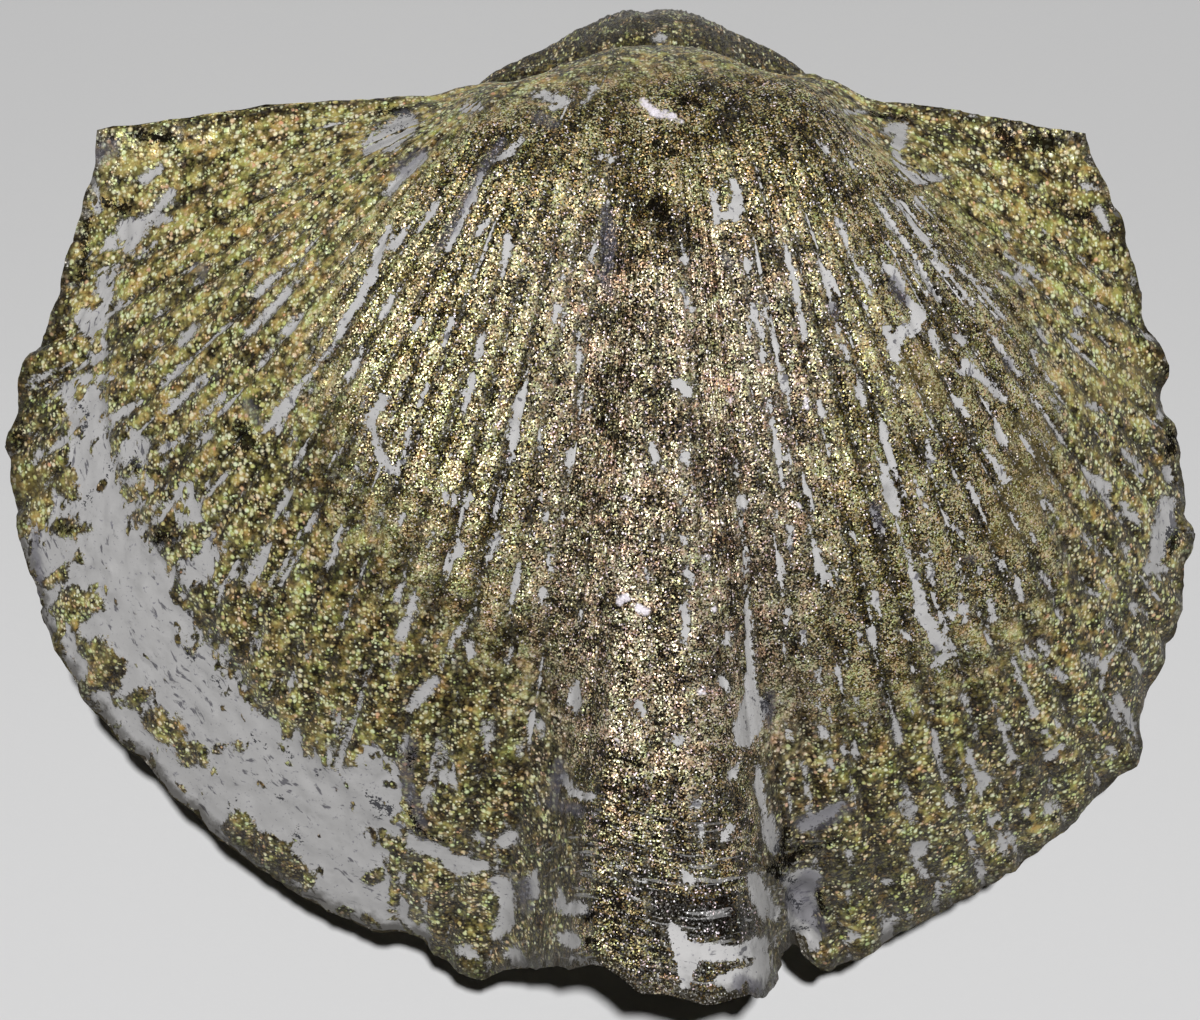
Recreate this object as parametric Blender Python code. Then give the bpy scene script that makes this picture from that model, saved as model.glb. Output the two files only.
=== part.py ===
"""Pyritised brachiopod fossil: two ribbed valves, cemented shut, lying on the lower one.

+X is the right of the shell, +Y its hinge, -Y its front and +Z up. The origin is in the middle of
the footprint, on the surface that the shell lies on. Sizes below are in millimetres.

Each valve is grown as a real one is. The margin where the valves meet is a ring of points. Turned
about the beak and made smaller row by row, it sweeps the valve's outer surface on a spiral, with
the ribs, the fold and the groove under the fold running from the beak to the margin.
"""
import math
from collections import namedtuple

import bmesh
import bpy
from mathutils import Matrix, Vector

MM = 0.001
OBJECT_NAME = "brachiopod_fossil"

# The margin from above, from the right end of the hinge round the front to its left end.
RIGHT_FLANK = [(20.5, 16.35), (22.2, 11.8), (23.6, 7.2), (24.7, 2.5), (25.0, -2.0), (24.2, -6.2),
               (22.6, -10.3), (19.6, -13.4), (15.6, -16.3), (11.4, -18.3), (8.8, -19.0)]
TONGUE = [(6.6, -19.4), (4.3, -19.8), (1.5, -19.3), (-1.4, -18.5)]
LEFT_FLANK = [(-4.6, -19.2), (-8.9, -17.9), (-12.6, -16.2), (-16.3, -13.6), (-20.1, -9.8),
              (-22.8, -6.3), (-24.5, -2.0), (-25.0, 2.2), (-24.3, 5.8), (-22.8, 10.1), (-21.0, 16.3)]
HINGE_BOW = 1.3                # how far the middle of the hinge lies behind its ends
SPLINE_STEPS = 12              # straight pieces measured along each stretch between margin points

# The margin's height above the lowest point of the shell.
SIDE_HEIGHT = 14.0
SIDE_SLOPE = 0.13              # rise per millimetre towards the hinge
TONGUE_RISE = 11.5             # how far the tongue lifts the front of the margin
TONGUE_LEFT = (-5.4, -0.2)     # x of the foot and of the shoulder of its left side
TONGUE_RIGHT = (9.6, 5.8)      # the same for its steeper right side
TONGUE_CROWN = (2.8, 0.006)    # x of its crown, and share of the rise lost per square millimetre away

# Ribs wave the margin up and down, and growth carries the wave to the beak.
FLANK_RIBS = 20
TONGUE_RIBS = 6
HINGE_SPANS = 12
POINTS_PER_RIB = 3
RIB_HEIGHT = 0.62              # furrow to crest at the margin of a flank
TONGUE_RIB_HEIGHT = 0.3
RIB_ROUNDNESS = 0.7            # below 1: broad round crests and narrow furrows
EAR_FADE = 0.18                # share of each flank, next to the hinge, where ribs fade out

# Growth: pole is the beak's centre, turn the angle swept, decay how fast rows shrink with it.
# Early breadth is taken off the power of size that a flank's half width follows, so young rows
# were broader than the margin. Swell is how far a flank's middle bulges beyond plain growth, and
# full_size the size of the row that bulges most.
Growth = namedtuple("Growth", "pole turn decay decay_gain early_breadth swell full_size rows row_bias")
BRACHIAL = Growth((2.5, 18.3, 16.9), math.radians(-150), 1.14, 0.0, 0.18, 1.8, 0.5, 14, 1.6)
PEDICLE = Growth((2.5, 17.4, 15.8), math.radians(195), 0.591, 0.084, -0.05, -2.2, 0.72, 16, 1.5)
BREADTH_FADE = (4.0, 12.0)     # distances from the middle plane between which breadth sets in
EARLY_FOLD = 2.2               # added to the power of size that the tongue's height follows

# The back is drawn out where the hinge sweeps up into the beak: x, half width, distance.
Pull = namedtuple("Pull", "x half_width distance")
PULLS = [Pull(-13.0, 11.0, 0.45), Pull(-4.6, 2.6, 0.4), Pull(8.9, 3.2, 0.85), Pull(14.0, 6.0, 0.3)]
PULL_SPAN = (11.0, 16.5)       # y between which the pull sets in

# The pyrite skin stops in a ledge short of the left margin, and rock shows outside it.
LEDGE_DEPTH = 0.4
LEDGE_START = 0.92             # size of the growth row that the ledge follows at its two ends
LEDGE_REACH = 0.13             # how much smaller that row is half way along the left flank
LEDGE_WIDTH = 0.012            # share of a row's size taken by the drop itself

# Broken places in the upper valve: x, y, half length in x and in y, depth.
Chip = namedtuple("Chip", "x y half_x half_y depth")
CHIPS = [Chip(2.5, 12.2, 1.8, 1.3, 0.8), Chip(8.2, -17.0, 1.5, 2.2, 1.0)]

SEAM_GAP = 0.3                 # clearance between the valves, measured upright
FILL_CENTRE = (2.5, 3.0, 14.6)  # point that the rock's parting surface rises or falls to
WORN_FLAT = 0.85               # rubbed off the lowest places, so that the shell lies still

UPPER_COLOUR = (0.25, 0.20, 0.08, 1.0)
LOWER_COLOUR = (0.17, 0.14, 0.07, 1.0)


def clear_scene():
    """Remove every object, so that the file holds the fossil alone."""
    for item in list(bpy.data.objects):
        bpy.data.objects.remove(item, do_unlink=True)


def smoothstep(low, high, value):
    """Rise smoothly from 0 at low to 1 at high; low may be the greater of the two."""
    share = min(max((value - low) / (high - low), 0.0), 1.0)
    return share * share * (3.0 - 2.0 * share)


def tongue_lift(point):
    """Return how far the tongue lifts the margin at a point of it."""
    if point[1] > 0.0:
        return 0.0
    sides = smoothstep(*TONGUE_LEFT, point[0]) * smoothstep(*TONGUE_RIGHT, point[0])
    crown_x, fall = TONGUE_CROWN
    return TONGUE_RISE * sides * (1.0 - fall * (point[0] - crown_x) ** 2)


def margin_height(point):
    """Return the height of the margin at a point of its outline, with no ribs."""
    return SIDE_HEIGHT + SIDE_SLOPE * point[1] + tongue_lift(point)


def spline(points):
    """Return a smooth run of margin points in space, and where each given point falls in it."""
    run = [Vector((*points[0], margin_height(points[0])))]
    padded = [points[0]] + points + [points[-1]]
    for before, start, end, after in zip(padded, padded[1:], padded[2:], padded[3:]):
        for step in range(1, SPLINE_STEPS + 1):
            t = step / SPLINE_STEPS
            place = [0.5 * (2 * b + (c - a) * t + (2 * a - 5 * b + 4 * c - d) * t ** 2
                            + (3 * b - a - 3 * c + d) * t ** 3)
                     for a, b, c, d in zip(before, start, end, after)]
            run.append(Vector((*place, margin_height(place))))
    return run


def even_points(run, count):
    """Return count points along a run, evenly apart, from its start to just before its end."""
    lengths = [0.0]
    for start, end in zip(run, run[1:]):
        lengths.append(lengths[-1] + (end - start).length)
    points = []
    piece = 0
    for number in range(count):
        wanted = lengths[-1] * number / count
        while lengths[piece + 1] < wanted:
            piece += 1
        share = (wanted - lengths[piece]) / (lengths[piece + 1] - lengths[piece])
        points.append(run[piece].lerp(run[piece + 1], share))
    return points


def rib(phase):
    """Return a rib's height, from 0 in its furrow to 1 on its crest; phase counts ribs."""
    return abs(math.sin(math.pi * phase)) ** RIB_ROUNDNESS


def ribbed(points, height_at):
    """Wave a run of points up and down; height_at gives the ribs' height along it, from 0 to 1."""
    raised = []
    for number, point in enumerate(points):
        lift = height_at(number / len(points)) * (rib(number / POINTS_PER_RIB) - 0.5)
        raised.append(point + Vector((0.0, 0.0, lift)))
    return raised


def hinge_points():
    """Return the points of the hinge, from its left end to just before its right end."""
    left, right = LEFT_FLANK[-1], RIGHT_FLANK[0]
    points = []
    for number in range(HINGE_SPANS):
        share = number / HINGE_SPANS
        x = left[0] + (right[0] - left[0]) * share
        y = left[1] + (right[1] - left[1]) * share + HINGE_BOW * 4.0 * share * (1.0 - share)
        points.append(Vector((x, y, margin_height((x, left[1])))))
    return points


def margin_ring():
    """Return the ring of points where the valves meet, with each point's place along the ring.

    The place is (stretch, share): the stretch's name, and how far along it the point is.
    """
    run = spline(RIGHT_FLANK + TONGUE + LEFT_FLANK)
    first = (len(RIGHT_FLANK) - 1) * SPLINE_STEPS
    last = (len(RIGHT_FLANK) + len(TONGUE)) * SPLINE_STEPS
    stretches = {
        "right": ribbed(even_points(run[:first + 1], FLANK_RIBS * POINTS_PER_RIB),
                        lambda share: RIB_HEIGHT * smoothstep(0.0, EAR_FADE, share)),
        "tongue": ribbed(even_points(run[first:last + 1], TONGUE_RIBS * POINTS_PER_RIB),
                         lambda share: TONGUE_RIB_HEIGHT),
        "left": ribbed(even_points(run[last:], FLANK_RIBS * POINTS_PER_RIB),
                       lambda share: RIB_HEIGHT * smoothstep(1.0, 1.0 - EAR_FADE, share)),
        "hinge": hinge_points()}
    ring = []
    places = []
    for name, points in stretches.items():
        ring += points
        places += [(name, number / len(points)) for number in range(len(points))]
    return ring, places


def row_size(growth, angle):
    """Return the size of a growth row, from 1 at the margin towards 0 at the beak."""
    swept = abs(angle)
    return math.exp(-(growth.decay * swept + growth.decay_gain * swept ** 2))


def row_angle(growth, size):
    """Return the angle at which a valve's growth row has a size: row_size turned round."""
    wanted = -math.log(size)
    if growth.decay_gain == 0.0:
        swept = wanted / growth.decay
    else:
        root = math.sqrt(growth.decay ** 2 + 4.0 * growth.decay_gain * wanted)
        swept = (root - growth.decay) / (2.0 * growth.decay_gain)
    return math.copysign(swept, growth.turn)


def grown(growth, point, size):
    """Carry a margin point along the growth spiral to the row of a given size."""
    pole = Vector(growth.pole)
    reach = point - pole
    reach.z -= tongue_lift(point) * (1.0 - size ** EARLY_FOLD)
    reach.x *= size ** (-growth.early_breadth * smoothstep(*BREADTH_FADE, abs(reach.x)))
    return pole + Matrix.Rotation(row_angle(growth, size), 3, "X") @ reach * size


def plain_sizes(growth):
    """Return the sizes of the growth rows after the margin, closer together near the margin."""
    angles = [growth.turn * (row / growth.rows) ** growth.row_bias
              for row in range(1, growth.rows + 1)]
    return [row_size(growth, angle) for angle in angles]


def ledge_size(place):
    """Return the size of the growth row that the ledge follows at a place on the ring."""
    name, share = place
    along = share if name == "left" else 0.0
    return LEDGE_START - LEDGE_REACH * math.sin(math.pi * along)


def upper_sizes(place):
    """Return an upper valve's row sizes at a place: two rows hug the ledge, the rest are plain."""
    ledge = ledge_size(place)
    rows = [size for size in plain_sizes(BRACHIAL) if size < LEDGE_START - LEDGE_REACH - 0.03]
    outside = 0.5 * (1.0 + ledge)
    inside = 0.5 * (ledge + rows[0])
    return [outside, ledge + 0.5 * LEDGE_WIDTH, ledge - 0.5 * LEDGE_WIDTH, inside] + rows


def swell(growth, place, size):
    """Return how far a flank bulges at a place; it is most half way between tongue and hinge."""
    name, share = place
    along = math.sin(math.pi * share) if name in ("left", "right") else 0.0
    up = math.sin(math.pi * size ** (math.log(0.5) / math.log(growth.full_size)))
    return Vector((0.0, 0.0, growth.swell * along * up))


def drawn_back(point):
    """Return a point of the shell moved back with the stretch of the hinge that it lies by."""
    distance = sum(pull.distance * smoothstep(pull.half_width, 0.0, abs(point.x - pull.x))
                   for pull in PULLS)
    return point + Vector((0.0, distance * smoothstep(*PULL_SPAN, point.y), 0.0))


def upper_wear(place, size, point):
    """Return how far damage lowers a point of the upper valve."""
    name, share = place
    lowered = 0.0
    if name == "left":
        ledge = ledge_size(place)
        if size > ledge:
            lowered = LEDGE_DEPTH * math.sin(math.pi * share) * (1.0 - size) / (1.0 - ledge)
    for chip in CHIPS:
        away = math.hypot((point.x - chip.x) / chip.half_x, (point.y - chip.y) / chip.half_y)
        lowered += chip.depth * smoothstep(1.0, 0.5, away)
    return lowered


def upper_point(point, place, size):
    """Place one point of the upper valve's outer surface."""
    sound = drawn_back(grown(BRACHIAL, point, size) + swell(BRACHIAL, place, size))
    return sound - Vector((0.0, 0.0, upper_wear(place, size, sound)))


def lower_point(point, place, size):
    """Place one point of the lower valve's outer surface."""
    return drawn_back(grown(PEDICLE, point, size) + swell(PEDICLE, place, size))


def grow_valve(growth, sizes_at, place_point, seam_shift):
    """Extrude the margin ring row by row to the beak, and close it inside; return the bmesh."""
    ring, places = margin_ring()
    bm = bmesh.new()
    number_of = bm.verts.layers.int.new("ring_number")
    row_verts = [bm.verts.new(drawn_back(point)) for point in ring]
    for number, vert in enumerate(row_verts):
        vert[number_of] = number
    row_edges = [bm.edges.new(pair) for pair in zip(row_verts, row_verts[1:] + row_verts[:1])]
    margin_edges = list(row_edges)
    sizes = [sizes_at(place) for place in places]
    for row in range(len(sizes[0])):
        made = bmesh.ops.extrude_edge_only(bm, edges=row_edges)["geom"]
        row_verts = [item for item in made if isinstance(item, bmesh.types.BMVert)]
        row_edges = [item for item in made if isinstance(item, bmesh.types.BMEdge)]
        for vert in row_verts:
            number = vert[number_of]
            vert.co = place_point(ring[number], places[number], sizes[number][row])
    close_ring(bm, row_edges, Vector(growth.pole))
    close_ring(bm, margin_edges, Vector(FILL_CENTRE))
    bmesh.ops.translate(bm, verts=bm.verts, vec=(0.0, 0.0, seam_shift))
    return bm


def close_ring(bm, edges, centre):
    """Close an open ring of edges with a fan of faces that meet at one point."""
    made = bmesh.ops.extrude_edge_only(bm, edges=edges)["geom"]
    tips = [item for item in made if isinstance(item, bmesh.types.BMVert)]
    bmesh.ops.pointmerge(bm, verts=tips, merge_co=centre)


def finish_solid(bm):
    """Split the faces into triangles, all facing outwards."""
    bmesh.ops.dissolve_degenerate(bm, dist=1e-4, edges=bm.edges)
    bmesh.ops.triangulate(bm, faces=bm.faces)
    bmesh.ops.recalc_face_normals(bm, faces=bm.faces)


def upper_valve():
    """Return the upper, brachial valve, with its fold, ledge and chips."""
    bm = grow_valve(BRACHIAL, upper_sizes, upper_point, 0.5 * SEAM_GAP)
    finish_solid(bm)
    return bm


def lower_valve():
    """Return the lower, pedicle valve, with its groove, beak and the flats that it lies on."""
    bm = grow_valve(PEDICLE, lambda place: plain_sizes(PEDICLE), lower_point, -0.5 * SEAM_GAP)
    rest = min(vert.co.z for vert in bm.verts) + WORN_FLAT
    for vert in bm.verts:
        vert.co.z = max(vert.co.z, rest)
    finish_solid(bm)
    return bm


def stand_on_origin(solids):
    """Move the solids together, so that their box stands on the origin."""
    corners = [vert.co for bm in solids for vert in bm.verts]
    low = Vector([min(co[axis] for co in corners) for axis in range(3)])
    high = Vector([max(co[axis] for co in corners) for axis in range(3)])
    foot = Vector((0.5 * (low.x + high.x), 0.5 * (low.y + high.y), low.z))
    for bm in solids:
        bmesh.ops.translate(bm, verts=bm.verts, vec=-foot)
        bmesh.ops.scale(bm, verts=bm.verts, vec=(MM, MM, MM))


def make_material(name, colour, roughness, metallic):
    """Return a plain Principled material."""
    material = bpy.data.materials.new(name)
    material.use_nodes = True
    shader = material.node_tree.nodes["Principled BSDF"]
    shader.inputs["Base Color"].default_value = colour
    shader.inputs["Roughness"].default_value = roughness
    shader.inputs["Metallic"].default_value = metallic
    return material


def add_object(name, bm, material, collection):
    """Turn a bmesh into an object of the fossil's collection."""
    mesh = bpy.data.meshes.new(name)
    bm.to_mesh(mesh)
    bm.free()
    mesh.materials.append(material)
    collection.objects.link(bpy.data.objects.new(name, mesh))


def main():
    clear_scene()
    collection = bpy.data.collections.new(OBJECT_NAME)
    bpy.context.scene.collection.children.link(collection)
    upper = upper_valve()
    lower = lower_valve()
    stand_on_origin([upper, lower])
    add_object("brachial_valve", upper, make_material("pyrite", UPPER_COLOUR, 0.4, 0.8), collection)
    add_object("pedicle_valve", lower, make_material("dull_pyrite", LOWER_COLOUR, 0.5, 0.6), collection)


main()
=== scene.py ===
"""Dress a pyritised brachiopod: two ribbed valves with their crust, scars and bare rock, on a stage."""
import math
from collections import namedtuple

import bmesh
import bpy
import numpy as np
from bpy.props import FloatProperty, FloatVectorProperty, IntProperty, PointerProperty
from mathutils import Matrix, Vector, noise


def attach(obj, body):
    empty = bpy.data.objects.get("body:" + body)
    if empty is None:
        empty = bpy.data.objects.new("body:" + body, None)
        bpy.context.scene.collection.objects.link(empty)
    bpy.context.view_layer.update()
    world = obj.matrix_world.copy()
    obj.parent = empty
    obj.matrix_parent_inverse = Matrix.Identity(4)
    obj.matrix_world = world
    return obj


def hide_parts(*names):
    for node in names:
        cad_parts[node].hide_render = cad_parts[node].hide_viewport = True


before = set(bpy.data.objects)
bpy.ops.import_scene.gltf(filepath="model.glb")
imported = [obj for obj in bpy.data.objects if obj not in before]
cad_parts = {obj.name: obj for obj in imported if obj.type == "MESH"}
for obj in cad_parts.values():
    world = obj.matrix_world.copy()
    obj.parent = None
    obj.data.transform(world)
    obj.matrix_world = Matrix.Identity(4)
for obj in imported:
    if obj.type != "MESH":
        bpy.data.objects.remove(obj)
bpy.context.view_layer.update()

bl_info = {
    "name": "Pyritised Brachiopod",
    "version": (1, 0, 0),
    "blender": (4, 5, 0),
    "location": "View3D > Sidebar > Fossil",
    "description": "Grows the two valves of a pyritised brachiopod and sets its stage",
    "category": "Add Mesh",
}

MM = 0.001

# Sizes from here on are in millimetres. This is the shell as its solids are grown, before its
# footprint is centred: +X is its right, +Y its hinge.

# The margin from above, from the right end of the hinge round the front to its left end.
RIGHT_FLANK = [(20.5, 16.35), (22.2, 11.8), (23.6, 7.2), (24.7, 2.5), (25.0, -2.0), (24.2, -6.2),
               (22.6, -10.3), (19.6, -13.4), (15.6, -16.3), (11.4, -18.3), (8.8, -19.0)]
TONGUE = [(6.6, -19.4), (4.3, -19.8), (1.5, -19.3), (-1.4, -18.5)]
LEFT_FLANK = [(-4.6, -19.2), (-8.9, -17.9), (-12.6, -16.2), (-16.3, -13.6), (-20.1, -9.8),
              (-22.8, -6.3), (-24.5, -2.0), (-25.0, 2.2), (-24.3, 5.8), (-22.8, 10.1), (-21.0, 16.3)]
HINGE_BOW = 1.3                # how far the middle of the hinge lies behind its ends
SPLINE_STEPS = 12              # straight pieces measured along each stretch between margin points

# The margin's height.
SIDE_HEIGHT = 14.0
SIDE_SLOPE = 0.13              # rise per millimetre towards the hinge
TONGUE_RISE = 11.5             # how far the tongue lifts the front of the margin
TONGUE_LEFT = (-5.4, -0.2)     # x of the foot and of the shoulder of its left side
TONGUE_RIGHT = (9.6, 5.8)      # the same for its steeper right side
TONGUE_CROWN = (2.8, 0.006)    # x of its crown, and share of the rise lost per square millimetre away

# Ribs wave the margin up and down, and growth carries the wave to the beak.
FLANK_RIBS = 20
TONGUE_RIBS = 6
HINGE_SPANS = 12               # stretches of the hinge, each with half as many points as a rib
RIB_ROUNDNESS = 0.7            # below 1: broad round crests and narrow furrows
FURROW_ROUNDNESS = 0.03        # above 0: furrows are rounded too
EAR_FADE = 0.18                # share of each flank, next to the hinge, where ribs fade out
RIB_DRIFT = 0.16               # how far, in ribs, a rib strays from its even place
TONGUE_RIB_SHARE = 0.48        # height of a rib of the tongue over that of a flank's rib

# Growth: pole is the beak's centre, turn the angle swept, decay how fast rows shrink with it.
# Early breadth is taken off the power of size that a flank's half width follows, so young rows
# were broader than the margin. Swell is how far a flank's middle bulges beyond plain growth, and
# full_size the size of the row that bulges most.
Growth = namedtuple("Growth", "pole turn decay decay_gain early_breadth swell full_size")
BRACHIAL = Growth((2.5, 18.3, 16.9), math.radians(-150), 1.14, 0.0, 0.18, 1.8, 0.5)
PEDICLE = Growth((2.5, 17.4, 15.8), math.radians(195), 0.591, 0.084, -0.05, -2.2, 0.72)
BREADTH_FADE = (4.0, 12.0)     # distances from the middle plane between which breadth sets in
EARLY_FOLD = 2.2               # added to the power of size that the tongue's height follows

# The back is drawn out where the hinge sweeps up into the beak: x, half width, distance.
Pull = namedtuple("Pull", "x half_width distance")
PULLS = [Pull(-13.0, 11.0, 0.45), Pull(-4.6, 2.6, 0.4), Pull(8.9, 3.2, 0.85), Pull(14.0, 6.0, 0.3)]
PULL_SPAN = (11.0, 16.5)       # y between which the pull sets in

# The pyrite crust stops in a ledge short of the left margin, and rock shows outside it.
LEDGE_DEPTH = 0.4
LEDGE_START = 0.92             # size of the growth row that the ledge follows at its two ends
LEDGE_REACH = 0.13             # how much smaller that row is half way along the left flank
LEDGE_WIDTH = 0.014            # share of a row's size taken by the drop itself
LEDGE_RAGS = 0.012             # how far the ledge strays, as a share of the shell's size

# Broken places in the upper valve: x, y, half length along and across, turn in degrees, how square
# the outline is, depth.
Chip = namedtuple("Chip", "x y half_x half_y turn squareness depth")
CHIPS = [Chip(2.1, 12.6, 0.95, 0.75, 38.0, 1.2, 0.5), Chip(3.2, 11.9, 1.0, 1.0, 20.0, 2.0, 0.3),
         Chip(2.7, 14.9, 0.8, 0.5, 10.0, 2.0, 0.25), Chip(8.2, -17.0, 1.5, 2.2, 0.0, 2.0, 1.0)]
CHIP_FLOOR = 0.55              # share of a chip's width that its floor takes
CHIP_ROUGHNESS = 0.35          # share by which a chip's depth strays

# Bumps and nicks along the margin: x, y, half width along the margin, how far it stands out.
Nick = namedtuple("Nick", "x y half_width outward")
NICKS = [Nick(24.1, 6.9, 0.9, 0.45), Nick(24.6, 5.1, 0.8, -0.35), Nick(23.6, 8.7, 0.9, -0.2),
         Nick(22.7, -10.0, 0.8, 0.35), Nick(-25.0, 3.6, 0.8, 0.3), Nick(-24.9, 0.4, 0.9, -0.15),
         Nick(8.3, -19.0, 0.7, -1.0), Nick(9.5, -18.7, 0.5, 0.35), Nick(6.7, -19.4, 0.5, 0.3),
         Nick(-20.9, 16.6, 1.2, 0.2), Nick(0.2, -18.9, 1.2, -0.5), Nick(3.2, -19.6, 0.9, -0.15),
         Nick(-5.2, -18.9, 1.0, 0.55), Nick(-8.4, -18.0, 1.0, -0.45), Nick(21.9, 12.6, 0.7, 0.2),
         Nick(25.0, -0.8, 0.8, 0.25), Nick(24.3, -5.6, 0.5, -0.2), Nick(23.6, -7.6, 1.4, -0.4),
         Nick(10.9, -18.2, 1.5, 0.4), Nick(-24.6, 6.2, 1.2, 0.3), Nick(-24.4, -3.0, 1.5, -0.25)]
MARGIN_NOISE = 0.16            # how far the margin strays
SCALLOP = 0.05                 # how far a rib's end stands out beyond its furrows
MARGIN_FADE = 0.93             # size of the row where the margin's raggedness has died away

# Fine relief on top of the ribs.
PAUSES = 26.0                  # times that the shell's growth paused
PAUSE_DRIFT = 0.7              # how far, in pauses, a step strays from its even place
RIBLETS_FROM = (0.15, 0.5)     # size of the row where riblets set in, and where they are full
STEPS_FROM = (0.3, 0.8)        # the same for growth steps
CRUST_EDGE = (-0.08, 0.1)      # depths inside bare rock between which the crust's edge drops
BARE_SMOOTHNESS = 0.75         # share of the lumps' height that bare rock lacks
BAND_WEAR = 0.85               # share of a rib's height that is worn off the bare band
BAND_WEAR_SPAN = (0.0, 0.9)    # depths inside bare rock between which that wear sets in

FILL_CENTRE = (2.5, 3.0, 14.6)      # point that the rock's parting surface rises or falls to
FOOT = (0.0103, 1.1160, -0.9502)    # the point of the growing shell that comes to lie on the origin

RIGHT, FRONT, LEFT, BACK = range(4)

# Marks are laid out on a level plan, as the shell shows itself to an eye high above its middle.
# Each is a run of (x, y, half width).
EYE = (0.0, -0.555, 260.0)
PLAN_HEIGHT = 15.0
FACING_UP = (0.0, 0.25)        # rise of the surface's normal between which the eye comes to see it
FAR = 1.5                      # depths outside a mark are no greater than this
RAGS = 0.13                    # how far a bare place's edge strays; other marks' stray half as far
BAND_REACH = 3.0               # how far from the band its edge still breaks into patches
GROWN_HEIGHT = 40.0            # height that one whole growth takes in places that follow growth
GAP_PACKING = (1.5, 1.5, 0.5)  # how tightly noise is packed round the shell, twice, and along it
FURROW_PACKING = (1.5, 1.5, 0.36)
STREAK_PACKING = (0.8, 0.8, 0.22)

# Where the crust's tones change.
# The hinge's place on the scale of painted rib shade, from dark furrows to lighter crests.
HINGE_RIB_SHADE = 0.7              # how bright the hinge is, where 0 is a furrow and 1 a rib's crest
FOLD_LEFT = (-6.0, 0.5)        # x between which the fold's own tone sets in
FOLD_RIGHT = (11.0, 6.5)
FOLD_BACK = (13.0, 8.0)        # y between which it sets in
COARSE_BELOW = (26.5, 22.2)    # heights between which fine sharp crystals give way to coarse ones
FINE_SLOPE = 0.12              # how that height falls off to the right, and towards the front
EAR_SLOPE = 0.1                # and how it falls off towards the hinge
EAR_START = 8.0                # y from which it does

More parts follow.
